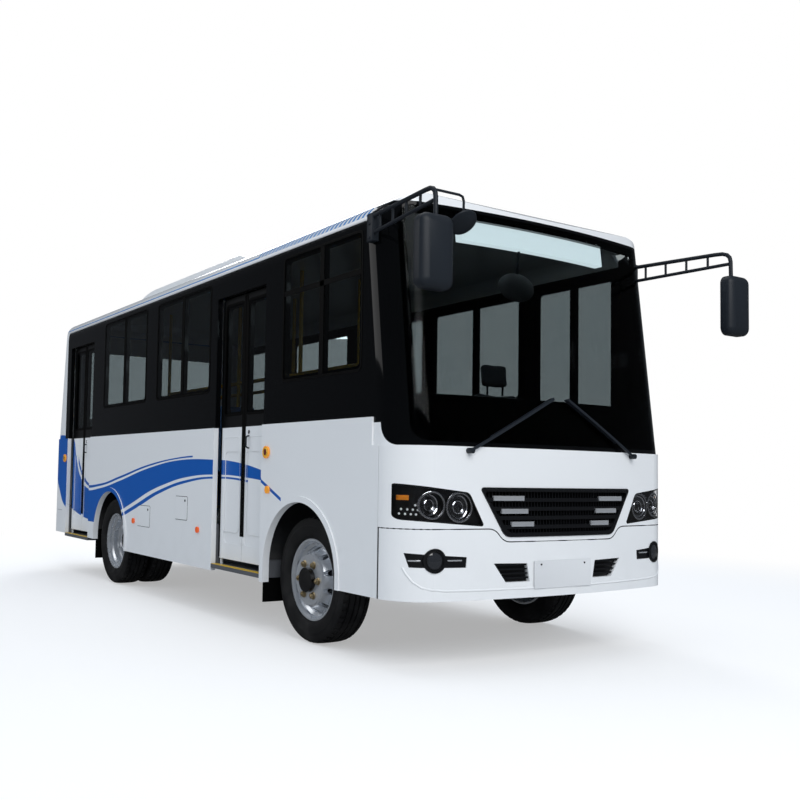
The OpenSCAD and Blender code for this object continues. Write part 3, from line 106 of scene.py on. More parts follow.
class Bench:
    """Operator calls that model a piece by hand."""

    @staticmethod
    def clear() -> None:
        """Leaves edit mode with nothing selected."""
        if bpy.context.mode != "OBJECT":
            bpy.ops.object.mode_set(mode="OBJECT")
        bpy.ops.object.select_all(action="DESELECT")

    @staticmethod
    def pick(*objs: Piece) -> None:
        """Selects only these pieces, the first of them active."""
        Bench.clear()
        for obj in objs:
            obj.select_set(True)
        bpy.context.view_layer.objects.active = objs[0]

    @staticmethod
    def settle(obj: Piece) -> None:
        """Moves a piece's place, turn and scale into its mesh."""
        Bench.pick(obj)
        bpy.ops.object.transform_apply(location=True, rotation=True, scale=True)

    @staticmethod
    def block(name: str, low: Point, high: Point) -> Piece:
        """Adds a box between two corners.

        Args:
            name: Name of the piece.
            low: Lowest corner.
            high: Highest corner.

        Returns:
            The new piece.
        """
        Bench.clear()
        corners = [Vector(low), Vector(high)]
        middle = (corners[0] + corners[1]) / 2
        bpy.ops.mesh.primitive_cube_add(size=1, location=middle, scale=corners[1] - corners[0])
        obj = bpy.context.object
        obj.name = name
        Bench.settle(obj)
        return obj

    @staticmethod
    def drum(name: str, centre: Point, radius: float, depth: float, axis: Axis, sides: int = 32) -> Piece:
        """Adds a cylinder about an axis.

        Args:
            name: Name of the piece.
            centre: Middle of the cylinder.
            radius: Its radius.
            depth: Its length along the axis.
            axis: Direction of the axis.
            sides: Number of sides.

        Returns:
            The new piece.
        """
        Bench.clear()
        turn = Vector((0, 0, 1)).rotation_difference(axis.value).to_euler()
        bpy.ops.mesh.primitive_cylinder_add(vertices=sides, radius=radius, depth=depth, location=centre,
                                            rotation=turn)
        obj = bpy.context.object
        obj.name = name
        Bench.settle(obj)
        return obj

    @staticmethod
    def chain(name: str, points: Sequence[Point]) -> Piece:
        """Draws a line of edges by extruding one vertex from point to point, and leaves it in edit mode.

        Args:
            name: Name of the piece.
            points: Points of the line, in order.

        Returns:
            The new piece, with all its vertices selected.
        """
        Bench.clear()
        places = [Vector(p) for p in points]
        bpy.ops.mesh.primitive_plane_add(size=0.001, location=places[0])
        obj = bpy.context.object
        obj.name = name
        Bench.settle(obj)
        bpy.ops.object.mode_set(mode="EDIT")
        bpy.ops.mesh.select_mode(type="VERT")
        bpy.ops.mesh.select_all(action="SELECT")
        bpy.ops.mesh.merge(type="CENTER")
        for start, end in zip(places, places[1:]):
            bpy.ops.mesh.extrude_vertices_move(TRANSFORM_OT_translate={"value": end - start})
        bpy.ops.mesh.select_all(action="SELECT")
        return obj

    @staticmethod
    def prism(name: str, outline: Sequence[Point], move: Point) -> Piece:
        """Fills an outline and extrudes it into a closed solid.

        Args:
            name: Name of the piece.
            outline: Corners of the flat outline, in order.
            move: Extrusion.

        Returns:
            The new piece.
        """
        obj = Bench.chain(name, outline)
        bpy.ops.mesh.edge_face_add()
        bpy.ops.mesh.extrude_region_move(TRANSFORM_OT_translate={"value": Vector(move)})
        Bench.recalculate(obj)
        return obj

    @staticmethod
    def lathe(name: str, centre: Point, axis: Axis, profile: Sequence[Pair], steps: int) -> Piece:
        """Spins a profile all the way round an axis.

        Args:
            name: Name of the piece.
            centre: The point on the axis that the profile is measured from.
            axis: Direction of the axis.
            profile: Points of the profile, along the axis and upwards away from it.
            steps: Steps of the turn.

        Returns:
            The new piece.
        """
        points = []
        for along, away in profile:
            x, y, z = (c + a * along for c, a in zip(centre, axis.value))
            points.append((x, y, z + away))
        obj = Bench.chain(name, points)
        bpy.ops.mesh.spin(steps=steps, angle=2 * math.pi, center=centre, axis=axis.value)
        Bench.recalculate(obj)
        return obj

    @staticmethod
    def tube(name: str, points: Sequence[Point], radius: float) -> Piece:
        """Bends a round bar along points.

        Args:
            name: Name of the piece.
            points: Points of the bar's middle line.
            radius: Radius of the bar.

        Returns:
            The new piece, as a mesh.
        """
        obj = Bench.chain(name, points)
        Bench.pick(obj)
        bpy.ops.object.convert(target="CURVE")
        obj.data.bevel_depth = radius
        obj.data.bevel_resolution = 3
        obj.data.use_fill_caps = True
        bpy.ops.object.convert(target="MESH")
        Bench.recalculate(obj)
        return obj

    @staticmethod
    def pipe(name: str, points: Sequence[Point], radius: float) -> Piece:
        """Bends a round bar along points and shades it smooth."""
        obj = Bench.tube(name, points, radius)
        Bench.smooth(obj, ROUND)
        return obj

    @staticmethod
    def recalculate(obj: Piece) -> None:
        """Merges doubles and turns every face outwards."""
        Bench.pick(obj)
        bpy.ops.object.mode_set(mode="EDIT")
        bpy.ops.mesh.select_all(action="SELECT")
        bpy.ops.mesh.remove_doubles(threshold=1e-5)
        bpy.ops.mesh.normals_make_consistent(inside=False)
        Bench.clear()

    @staticmethod
    def select_faces(obj: Piece, test: FaceTest) -> None:
        """Opens a piece in edit mode with some faces selected.

        Args:
            obj: The piece.
            test: Says of a face's centre and normal whether it is selected.
        """
        Bench.pick(obj)
        bpy.ops.object.mode_set(mode="EDIT")
        bpy.ops.mesh.select_mode(type="FACE")
        bpy.ops.mesh.select_all(action="DESELECT")
        bpy.ops.object.mode_set(mode="OBJECT")
        for face in obj.data.polygons:
            face.select = test(face.center, face.normal)
        bpy.ops.object.mode_set(mode="EDIT")

    @staticmethod
    def inset(obj: Piece, test: FaceTest, thickness: float, depth: float) -> None:
        """Insets the faces that pass a test, and sinks them by a negative depth."""
        Bench.select_faces(obj, test)
        bpy.ops.mesh.inset(thickness=thickness, depth=depth)
        Bench.clear()

    @staticmethod
    def hollow(obj: Piece, test: FaceTest, thickness: float) -> None:
        """Opens a window between two opposite faces, leaving a rim of a given thickness."""
        Bench.select_faces(obj, test)
        bpy.ops.mesh.inset(thickness=thickness, depth=0, use_individual=True)
        bpy.ops.mesh.bridge_edge_loops()
        Bench.recalculate(obj)

    @staticmethod
    def modify(obj: Piece, kind: str, **settings: object) -> None:
        """Adds a modifier and applies it.

        Args:
            obj: The piece.
            kind: Blender's name for the modifier.
            **settings: Values of the modifier's properties.
        """
        Bench.pick(obj)
        modifier = obj.modifiers.new(kind.title(), kind)
        for key, value in settings.items():
            setattr(modifier, key, value)
        bpy.ops.object.modifier_apply(modifier=modifier.name)

    @staticmethod
    def soften(obj: Piece, width: float, segments: int = 2) -> None:
        """Rounds a piece's sharp edges and shades it smooth between the rest."""
        Bench.modify(obj, "BEVEL", width=width, segments=segments, limit_method="ANGLE",
                     angle_limit=math.radians(SHARP))
        Bench.smooth(obj)

    @staticmethod
    def smooth(obj: Piece, degrees: float = SHARP) -> None:
        """Shades smooth across edges flatter than an angle."""
        Bench.pick(obj)
        bpy.ops.object.shade_smooth_by_angle(angle=math.radians(degrees))

    @staticmethod
    def copy(obj: Piece, name: str, place: Matrix) -> Piece:
        """Copies a piece with its own mesh to another place.

        Args:
            obj: The piece.
            name: Name of the copy.
            place: Where the copy goes, from where the piece is.

        Returns:
            The copy.
        """
        Bench.pick(obj)
        bpy.ops.object.duplicate()
        twin = bpy.context.object
        twin.name = name
        twin.matrix_world = place
        Bench.settle(twin)
        if place.determinant() < 0:
            Bench.recalculate(twin)
        return twin

    @staticmethod
    def join(name: str, objs: Sequence[Piece]) -> Piece:
        """Joins pieces into one mesh under one name."""
        Bench.pick(*objs)
        bpy.ops.object.join()
        obj = bpy.context.object
        obj.name = name
        return obj

    @staticmethod
    def about(centre: Point, move: Matrix) -> Matrix:
        """Lets a turn or a scale act about a point."""
        here = Matrix.Translation(Vector(centre))
        return here @ move @ here.inverted()

    @staticmethod
    def around(obj: Piece, centre: Point, axis: Axis, count: int) -> None:
        """Repeats a piece evenly round an axis, as one mesh.

        Args:
            obj: The piece.
            centre: A point on the axis.
            axis: Direction of the axis.
            count: Number of copies in the full turn.
        """
        step = Bench.about(centre, Matrix.Rotation(2 * math.pi / count, 4, axis.value))
        pivot = bpy.data.objects.new("pivot", None)
        bpy.context.scene.collection.objects.link(pivot)
        pivot.matrix_world = step
        bpy.context.view_layer.update()
        Bench.modify(obj, "ARRAY", count=count, use_relative_offset=False, use_object_offset=True,
                     offset_object=pivot)
        bpy.data.objects.remove(pivot)


class Nodes:
    """Short forms for building shader nodes in one tree."""

    def __init__(self, tree: NodeTree) -> None:
        """Keeps the tree that the nodes go into."""
        self.tree = tree

    def add(self, kind: str, **settings: object) -> Node:
        """Adds a node and sets its properties.

        Args:
            kind: Blender's type name without its ShaderNode prefix.
            **settings: Values of the node's properties.

        Returns:
            The node.
        """
        node = self.tree.nodes.new("ShaderNode" + kind)
        for key, value in settings.items():
            setattr(node, key, value)
        return node

    def link(self, source: object, target: Socket) -> None:
        """Links a socket to a target, or writes a constant into it."""
        if isinstance(source, Socket):
            self.tree.links.new(source, target)
        else:
            target.default_value = source

    def maths(self, operation: str, *values: object, clamp: bool = False) -> Socket:
        """Adds a Math node.

        Args:
            operation: The node's operation.
            *values: Sockets or numbers.
            clamp: Whether the result is held between 0 and 1.

        Returns:
            The node's output.
        """
        node = self.add("Math", operation=operation, use_clamp=clamp)
        for value, target in zip(values, node.inputs):
            self.link(value, target)
        return node.outputs[0]

    def ramp(self, value: object, low: float, high: float) -> Socket:
        """Maps a value smoothly from low to high onto 0 to 1."""
        node = self.add("MapRange", interpolation_type="SMOOTHSTEP")
        self.link(value, node.inputs["Value"])
        node.inputs["From Min"].default_value = low
        node.inputs["From Max"].default_value = high
        return node.outputs[0]

    def mix(self, factor: object, first: object, second: object) -> Socket:
        """Mixes two colours by a factor."""
        node = self.add("Mix", data_type="RGBA")
        self.link(factor, node.inputs[0])
        for value, target in ((first, node.inputs[6]), (second, node.inputs[7])):
            self.link(rgba(value) if isinstance(value, tuple) else value, target)
        return node.outputs[2]

    def plus(self, first: object, second: object, clamp: bool = False) -> Socket:
        """Adds two values."""
        return self.maths("ADD", first, second, clamp=clamp)

    def minus(self, first: object, second: object) -> Socket:
        """Takes the second value from the first."""
        return self.maths("SUBTRACT", first, second)

    def times(self, first: object, second: object, clamp: bool = False) -> Socket:
        """Multiplies two values."""
        return self.maths("MULTIPLY", first, second, clamp=clamp)

    def above(self, value: object, limit: object) -> Socket:
        """Gives 1 where a value is above a limit, else 0."""
        return self.maths("GREATER_THAN", value, limit)

    def below(self, value: object, limit: object) -> Socket:
        """Gives 1 where a value is below a limit, else 0."""
        return self.maths("LESS_THAN", value, limit)

    def larger(self, first: object, second: object) -> Socket:
        """Gives the larger of two values."""
        return self.maths("MAXIMUM", first, second)

    def length(self, first: object, second: object) -> Socket:
        """Gives the length of a flat vector from its two parts."""
        squares = [self.maths("POWER", part, 2.0) for part in (first, second)]
        return self.maths("SQRT", self.plus(*squares))

    def coordinates(self) -> Socket:
        """Gives the Object coordinates."""
        return self.add("TexCoord").outputs["Object"]

    def split(self, vector: Socket) -> tuple[Socket, Socket, Socket]:
        """Splits a vector into X, Y and Z."""
        node = self.add("SeparateXYZ")
        self.link(vector, node.inputs[0])
        return node.outputs[0], node.outputs[1], node.outputs[2]

    def place(self) -> tuple[Socket, Socket, Socket]:
        """Splits the Object coordinates into X, Y and Z."""
        return self.split(self.coordinates())

    def facing(self) -> tuple[Socket, Socket, Socket]:
        """Splits a face's normal into X, Y and Z of the piece itself, whatever its pose."""
        turn = self.add("VectorTransform", vector_type="NORMAL", convert_from="WORLD", convert_to="OBJECT")
        self.link(self.add("NewGeometry").outputs["True Normal"], turn.inputs[0])
        return self.split(turn.outputs[0])

    def noise(self, scale: object, detail: float) -> Socket:
        """Adds a noise texture on Object coordinates and gives its value."""
        node = self.add("TexNoise")
        self.link(self.coordinates(), node.inputs["Vector"])
        self.link(scale, node.inputs["Scale"])
        node.inputs["Detail"].default_value = detail
        return node.outputs[0]

    def bump(self, height: Socket, strength: float, depth: float, shader: Node) -> None:
        """Shades a shader's surface by a height.

        Args:
            height: The height, from 0 to 1.
            strength: How much of it shows.
            depth: How far 1 stands out, in metres.
            shader: The shader.
        """
        node = self.add("Bump")
        node.inputs["Strength"].default_value = strength
        node.inputs["Distance"].default_value = depth
        self.link(height, node.inputs["Height"])
        self.link(node.outputs[0], shader.inputs["Normal"])

    def in_view(self) -> tuple[Socket, Socket]:
        """Tells rays that the camera sees, also through glass, and rays off glossy surfaces.

        Returns:
            A mask of what is in view, and a mask of reflections.
        """
        rays = self.add("LightPath")
        bounces = self.plus(rays.outputs["Diffuse Depth"], rays.outputs["Glossy Depth"])
        through = self.times(rays.outputs["Is Transmission Ray"], self.below(bounces, 0.5))
        return self.larger(rays.outputs["Is Camera Ray"], through), rays.outputs["Is Glossy Ray"]

    def curve(self, value: object, points: Sequence[Pair]) -> Socket:
        """Adds a smooth curve through points between 0 and 1.

        Args:
            value: What is looked up.
            points: Points of the curve, in order.

        Returns:
            The curve's height.
        """
        node = self.add("FloatCurve")
        line = node.mapping.curves[0]
        while len(line.points) < len(points):
            line.points.new(0.5, 0.5)
        for spot, place in zip(line.points, sorted(points)):
            spot.location = place
        node.mapping.update()
        self.link(value, node.inputs["Value"])
        return node.outputs[0]

    def group(self, tree: NodeTree, **inputs: object) -> Node:
        """Places a node group and fills its inputs by name, with _ for a space."""
        node = self.add("Group")
        node.node_tree = tree
        for key, value in inputs.items():
            self.link(rgba(value) if isinstance(value, tuple) else value, node.inputs[key.replace("_", " ")])
        return node


def rgba(colour: Colour) -> tuple[float, float, float, float]:
    """Adds full alpha to a colour."""
    return (*colour, 1.0)


@dataclass(frozen=True)
class Effect:
    """A shader node group that is built once and placed in each material that uses it."""

    label: ClassVar[str]
    inputs: ClassVar[dict[str, str]] = {}
    outputs: ClassVar[dict[str, str]] = {"Mask": "Float"}

    def tree(self) -> NodeTree:
        """Builds the group once and returns its tree."""
        found = bpy.data.node_groups.get(self.label)
        if found:
            return found
        tree = bpy.data.node_groups.new(self.label, "ShaderNodeTree")
        for way, sockets in (("INPUT", self.inputs), ("OUTPUT", self.outputs)):
            for label, kind in sockets.items():
                tree.interface.new_socket(label, in_out=way, socket_type="NodeSocket" + kind)
        self.fill(Nodes(tree), tree.nodes.new("NodeGroupInput"), tree.nodes.new("NodeGroupOutput"))
        return tree

    def fill(self, nodes: Nodes, given: Node, out: Node) -> None:
        """Links the group's inputs to its outputs.

        Args:
            nodes: Builder of the group's tree.
            given: The group's input node.
            out: The group's output node.
        """
        raise NotImplementedError


@dataclass(frozen=True)
class RoadDust(Effect):
    """The film of dust that thickens towards the ground."""

    label: ClassVar[str] = "road_dust"
    inputs: ClassVar[dict[str, str]] = {"Colour": "Color", "Amount": "Float"}
    outputs: ClassVar[dict[str, str]] = {"Colour": "Color", "Mask": "Float"}
    tint: Colour = (0.34, 0.32, 0.29)
    fade: Pair = (0.15, 0.95)
    patch_scale: float = 7.0
    patch_detail: float = 6.0
    patch: Pair = (0.35, 0.75)

    def fill(self, nodes: Nodes, given: Node, out: Node) -> None:
        """Lays the dust over the colour in patches."""
        fade = nodes.minus(1.0, nodes.ramp(nodes.place()[2], *self.fade))
        patches = nodes.ramp(nodes.noise(self.patch_scale, self.patch_detail), *self.patch)
        mask = nodes.times(nodes.times(fade, patches), given.outputs["Amount"], clamp=True)
        nodes.link(nodes.mix(mask, given.outputs["Colour"], self.tint), out.inputs["Colour"])
        nodes.link(mask, out.inputs["Mask"])


@dataclass(frozen=True)
class SurfaceGrain(Effect):
    """Fine unevenness: a shade of the colour, a roughness and a height."""

    label: ClassVar[str] = "surface_grain"
    inputs: ClassVar[dict[str, str]] = {"Colour": "Color", "Scale": "Float", "Shade": "Float",
                                        "Roughness": "Float", "Spread": "Float"}
    outputs: ClassVar[dict[str, str]] = {"Colour": "Color", "Roughness": "Float", "Height": "Float"}
    detail: float = 4.0
    slow_scale: float = 2.3
    slow_detail: float = 2.0
    middle: float = 0.5

    def fill(self, nodes: Nodes, given: Node, out: Node) -> None:
        """Shades colour and roughness by a fine and a slow noise."""
        grain = nodes.noise(given.outputs["Scale"], self.detail)
        slow = nodes.noise(self.slow_scale, self.slow_detail)
        value = nodes.plus(1.0, nodes.times(nodes.minus(grain, slow), given.outputs["Shade"]))
        tint = nodes.add("HueSaturation")
        nodes.link(given.outputs["Colour"], tint.inputs["Color"])
        nodes.link(value, tint.inputs["Value"])
        nodes.link(tint.outputs[0], out.inputs["Colour"])
        drift = nodes.times(nodes.minus(slow, self.middle), given.outputs["Spread"])
        nodes.link(nodes.plus(given.outputs["Roughness"], drift, clamp=True), out.inputs["Roughness"])
        nodes.link(grain, out.inputs["Height"])


# Wave edges on the sides: distance ahead of the rear axle, height
MAIN_TOP = ((-1.86, 1.46), (-1.42, 1.44), (-1.26, 1.18), (-1.09, 0.99), (-0.762, 0.877), (-0.299, 0.903),
            (0.259, 0.986), (0.996, 1.111), (1.638, 1.176), (2.257, 1.178), (2.462, 1.166), (2.783, 1.127),
            (2.979, 1.083), (3.045, 1.021))
MAIN_LOW = ((-1.86, 1.43), (-1.769, 1.071), (-1.63, 0.85), (-1.389, 0.671), (-0.895, 0.577), (-0.45, 0.563),
            (0.02, 0.595), (0.348, 0.718), (0.66, 0.808), (1.011, 0.907), (1.34, 0.974), (1.747, 1.035),
            (2.263, 1.064), (2.787, 1.042), (3.011, 1.021))
UPPER_LINE = ((-1.2, 1.22), (-1.009, 1.034), (-0.767, 0.933), (-0.303, 0.947), (0.255, 1.028), (0.994, 1.142),
              (1.637, 1.2), (1.891, 1.211))
LOWER_LINE = ((0.366, 0.659), (0.785, 0.772), (1.237, 0.896), (1.75, 0.99), (2.265, 1.034), (2.711, 1.015))


@dataclass(frozen=True)
class WaveLivery(Effect):
    """The blue waves along the sides, as a mask."""

    rear_axle: float
    label: ClassVar[str] = "wave_livery"
    start: float = -1.9
    length: float = 5.4
    low: float = 0.45
    height: float = 1.05
    edge: float = 0.0015
    line_share: float = 0.5
    behind: float = -9.0
    tail_start: Pair = (3.03, 1.03)
    tail_end: Pair = (3.307, 0.91)
    tail_lap: float = 0.03
    tail_width: float = 0.012
    turned: float = 0.2
    rear_corner: float = -1.62

    def fill(self, nodes: Nodes, given: Node, out: Node) -> None:
        """Joins the main wave, the thin lines beside it and its tail, on outward faces only."""
        x, y, z = nodes.place()
        along = nodes.minus(x, self.rear_axle)
        share = nodes.maths("DIVIDE", nodes.minus(along, self.start), self.length)
        top, low, upper, lower = (self.edge_height(nodes, share, line)
                                  for line in (MAIN_TOP, MAIN_LOW, UPPER_LINE, LOWER_LINE))
        upper_foot = nodes.plus(upper, nodes.times(nodes.minus(top, upper), self.line_share))
        lower_head = nodes.plus(lower, nodes.times(nodes.minus(low, lower), self.line_share))
        (ax, az), (bx, bz) = self.tail_start, self.tail_end
        tail = nodes.plus(az, nodes.times(nodes.minus(along, ax), (bz - az) / (bx - ax)))
        tail_foot, tail_head = nodes.minus(tail, self.tail_width), nodes.plus(tail, self.tail_width)
        strips = ((low, top, self.behind, MAIN_TOP[-1][0]),
                  (upper_foot, upper, UPPER_LINE[0][0], UPPER_LINE[-1][0]),
                  (lower, lower_head, LOWER_LINE[0][0], LOWER_LINE[-1][0]),
                  (tail_foot, tail_head, ax - self.tail_lap, bx))
        bands: object = 0.0
        for foot, head, back, front in strips:
            strip = nodes.times(self.between(nodes, z, foot, head), self.between(nodes, along, back, front))
            bands = nodes.larger(bands, strip)
        ahead, sideways, _ = nodes.facing()
        outwards = nodes.above(nodes.times(sideways, y), self.turned)
        rear = nodes.times(nodes.below(along, self.rear_corner), nodes.below(ahead, -self.turned))
        nodes.link(nodes.times(bands, nodes.larger(outwards, rear)), out.inputs["Mask"])

    def edge_height(self, nodes: Nodes, share: object, points: Sequence[Pair]) -> Socket:
        """Looks up the height of an edge along the bus."""
        spots = [((a - self.start) / self.length, (h - self.low) / self.height) for a, h in points]
        return nodes.plus(self.low, nodes.times(nodes.curve(share, spots), self.height))

    def between(self, nodes: Nodes, value: object, low: object, high: object) -> Socket:
        """Gives 1 where a value lies between two others, with a narrow soft edge."""
        over = nodes.ramp(nodes.minus(value, low), -self.edge, self.edge)
        under = nodes.ramp(nodes.minus(high, value), -self.edge, self.edge)
        return nodes.times(over, under)


@dataclass(frozen=True)
class CoveMarks(Effect):
    """The thin line and the comb of dashes above the gutter, as a mask."""

    line_z: float
    comb_start: float
    comb_end: float
    label: ClassVar[str] = "cove_marks"
    cove: Pair = (0.908, 2.5186)
    skin: float = 0.185
    line_half: float = 0.006
    dash_low: float = 0.055
    dash_grow: float = 0.030
    pitch: float = 0.050
    share: float = 0.5

    def fill(self, nodes: Nodes, given: Node, out: Node) -> None:
        """Draws the line as far as the comb, and the comb's growing dashes, on the outer skin only."""
        x, y, z = nodes.place()
        sideways = nodes.minus(nodes.maths("ABSOLUTE", y), self.cove[0])
        upwards = nodes.minus(z, self.cove[1])
        outer = nodes.above(nodes.length(sideways, upwards), self.skin)
        line = nodes.below(nodes.maths("ABSOLUTE", nodes.minus(z, self.line_z)), self.line_half)
        line = nodes.times(line, nodes.below(x, self.comb_start))
        along = nodes.minus(x, self.comb_start)
        growth = nodes.maths("DIVIDE", along, self.comb_end - self.comb_start)
        top = nodes.plus(self.line_z + self.dash_low, nodes.times(growth, self.dash_grow))
        dash = nodes.below(nodes.maths("FRACT", nodes.maths("DIVIDE", along, self.pitch)), self.share)
        for test in (nodes.above(x, self.comb_start), nodes.below(x, self.comb_end),
                     nodes.above(z, self.line_z - self.line_half), nodes.below(z, top)):
            dash = nodes.times(dash, test)
        nodes.link(nodes.times(outer, nodes.larger(line, dash)), out.inputs["Mask"])


@dataclass(frozen=True)
class Finish:
    """A surface finish: its colour, gloss and grain."""

    name: str
    colour: Colour
    roughness: float = 0.4
    metallic: float = 0.0
    coat: float = 0.0
    coat_roughness: float = 0.04
    grain_scale: float = 60.0
    grain_shade: float = 0.1
    grain_bump: float = 0.02
    grain_depth: float = 0.002
    spread: float = 0.1
    dust: float = 0.0
    dust_roughness: float = 0.4
    specular: float = 0.5

    def material(self) -> bpy.types.Material:
        """Builds the material once and returns it."""
        label = f"{self.name}_finish"
        found = bpy.data.materials.get(label)
        if found:
            return found
        made = bpy.data.materials.new(label)
        made.use_nodes = True
        nodes = Nodes(made.node_tree)
        shader = made.node_tree.nodes["Principled BSDF"]
        grain = nodes.group(SurfaceGrain().tree(), Colour=self.base(nodes), Scale=self.grain_scale,
                            Shade=self.grain_shade, Roughness=self.roughness, Spread=self.spread)
        dust = nodes.group(RoadDust().tree(), Colour=grain.outputs["Colour"], Amount=self.dust)
        nodes.link(dust.outputs["Colour"], shader.inputs["Base Color"])
        dulled = nodes.times(dust.outputs["Mask"], self.dust_roughness)
        nodes.link(nodes.plus(grain.outputs["Roughness"], dulled, clamp=True), shader.inputs["Roughness"])
        shader.inputs["Metallic"].default_value = self.metallic
        shader.inputs["Coat Weight"].default_value = self.coat
        shader.inputs["Coat Roughness"].default_value = self.coat_roughness
        shader.inputs["Specular IOR Level"].default_value = self.specular
        nodes.bump(grain.outputs["Height"], self.grain_bump, self.grain_depth, shader)
        self.extras(nodes, shader)
        return made

    def base(self, nodes: Nodes) -> object:
        """Gives the colour before grain and dust."""
        return self.colour

    def extras(self, nodes: Nodes, shader: Node) -> None:
        """Sets what a kind of finish adds to the shader."""


@dataclass(frozen=True)
class LiveryPaint(Finish):
    """Body paint with a second colour laid on by a mask."""

    second: Colour = (0.0, 0.0, 0.0)
    mask: Effect | None = None

    def base(self, nodes: Nodes) -> object:
        """Mixes the two colours by the mask."""
        return nodes.mix(nodes.group(self.mask.tree()).outputs["Mask"], self.colour, self.second)


@dataclass(frozen=True)
class DoorPaint(LiveryPaint):
    """Livery paint that is black above the belt line."""

    belt: float = 1.418
    black: Colour = (0.003, 0.0035, 0.004)

    def base(self, nodes: Nodes) -> object:
        """Blackens the livery above the belt line."""
        return nodes.mix(nodes.above(nodes.place()[2], self.belt), super().base(nodes), self.black)


@dataclass(frozen=True)
class MaskPaint(Finish):
    """Black mask whose lower outer corners are rounded off in the body's white."""

    white: Colour = (0.80, 0.80, 0.80)
    corner: Pair = (0.0, 0.0)
    radius: float = 0.13

    def base(self, nodes: Nodes) -> object:
        """Lays white outside the rounded corner."""
        x, _, z = nodes.place()
        back = nodes.minus(self.corner[0] + self.radius, x)
        down = nodes.minus(self.corner[1] + self.radius, z)
        inside = nodes.times(nodes.above(back, 0.0), nodes.above(down, 0.0))
        outside = nodes.above(nodes.length(back, down), self.radius)
        return nodes.mix(nodes.times(inside, outside), self.colour, self.white)


@dataclass(frozen=True)
class GapShadedPaint(Finish):
    """Paint with painted shade in its gaps: a dark line down the rear edge, and dark faces that close a level
    gap.
    """

    rear_edge: float = -9.0
    line: float = 0.010
    gap: Pair = (0.62, 0.95)
    level: float = 0.8
    # Painted shade: the dark colour laid where the gaps between panels are in shade
    joint: Colour = (0.010, 0.010, 0.011)

    def base(self, nodes: Nodes) -> object:
        """Paints shade into the gaps by darkening the colour."""
        x, _, z = nodes.place()
        # Painted shade on the level faces inside the gap, and a painted dark line along the rear edge
        closing = nodes.above(nodes.maths("ABSOLUTE", nodes.facing()[2]), self.level)
        for test in (nodes.above(z, self.gap[0]), nodes.below(z, self.gap[1])):
            closing = nodes.times(closing, test)
        edge = nodes.below(x, self.rear_edge + self.line)
        return nodes.mix(nodes.larger(closing, edge), self.colour, self.joint)


@dataclass(frozen=True)
class LitPanel(Finish):
    """Panel lit evenly from behind."""

    glow: float = 1.0

    def extras(self, nodes: Nodes, shader: Node) -> None:
        """Adds the panel's own light."""
        shader.inputs["Emission Color"].default_value = rgba(self.colour)
        shader.inputs["Emission Strength"].default_value = self.glow


@dataclass(frozen=True)
class BoreShadedMetal(Finish):
    """Wheel metal with painted shade inside the bore at the wheel's middle."""

    # Painted shade: the near-black colour inside the bore
    bore_shade: Colour = (0.02, 0.02, 0.022)
    axle: Pair = (0.0, 0.0)
    hub_radius: float = 0.079
    edge: float = 0.001

    def base(self, nodes: Nodes) -> object:
        """Paints shade into the bore: darkens the colour within the bore's radius of the axle."""
        x, _, z = nodes.place()
        away = nodes.length(nodes.minus(x, self.axle[0]), nodes.minus(z, self.axle[1]))
        metal = nodes.ramp(away, self.hub_radius - self.edge, self.hub_radius + self.edge)
        return nodes.mix(metal, self.bore_shade, self.colour)


@dataclass(frozen=True)
class Glass(Finish):
    """Clear or tinted glass."""

    ior: float = 1.46

    def extras(self, nodes: Nodes, shader: Node) -> None:
        """Lets light through."""
        shader.inputs["Transmission Weight"].default_value = 1.0
        shader.inputs["IOR"].default_value = self.ior


@dataclass(frozen=True)
class StudioFloor(Finish):
    """Pale floor that runs out into plain white."""

    near: float = 4.5
    far: float = 8.5
    lift: float = 0.40
    fill: float = 0.30
    glint: float = 0.07
    mirrored: float = 0.9
    white: Colour = (1.0, 1.0, 1.0)

    def extras(self, nodes: Nodes, shader: Node) -> None:
        """Lifts the floor for the camera, and fades it to white away from the bus."""
        x, y, _ = nodes.place()
        seen, glossy = nodes.in_view()
        shader.inputs["Emission Color"].default_value = rgba(self.white)
        nodes.link(nodes.times(seen, self.lift), shader.inputs["Emission Strength"])
        glow = nodes.add("Emission")
        unseen = nodes.minus(self.fill, nodes.times(glossy, self.fill - self.glint))
        nodes.link(nodes.larger(seen, unseen), glow.inputs["Strength"])
        blend = nodes.add("MixShader")
        away = nodes.ramp(nodes.length(x, y), self.near, self.far)
        nodes.link(nodes.larger(away, nodes.times(glossy, self.mirrored)), blend.inputs[0])
        nodes.link(shader.outputs[0], blend.inputs[1])
        nodes.link(glow.outputs[0], blend.inputs[2])
        nodes.link(blend.outputs[0], nodes.tree.nodes["Material Output"].inputs["Surface"])


@dataclass(frozen=True)
class Lamp(Finish):
    """Coloured lens over a prismed back, with a faint glow of its own."""

    glow: float = 0.15
    cell: float = 70.0
    prism_bump: float = 0.12
    prism_depth: float = 0.003

    def extras(self, nodes: Nodes, shader: Node) -> None:
        """Adds prisms and glow."""
        prisms = nodes.add("TexVoronoi")
        nodes.link(nodes.coordinates(), prisms.inputs["Vector"])
        prisms.inputs["Scale"].default_value = self.cell
        nodes.bump(prisms.outputs["Distance"], self.prism_bump, self.prism_depth, shader)
        shader.inputs["Emission Color"].default_value = rgba(self.colour)
        shader.inputs["Emission Strength"].default_value = self.glow


@dataclass(frozen=True)
class MarkerLamp(Lamp):
    """Side lamps, redder below a given height."""

    low: Colour = (0.80, 0.07, 0.02)
    divide: float = 0.75

    def base(self, nodes: Nodes) -> object:
        """Mixes the two colours by height."""
        return nodes.mix(nodes.above(nodes.place()[2], self.divide), self.low, self.colour)


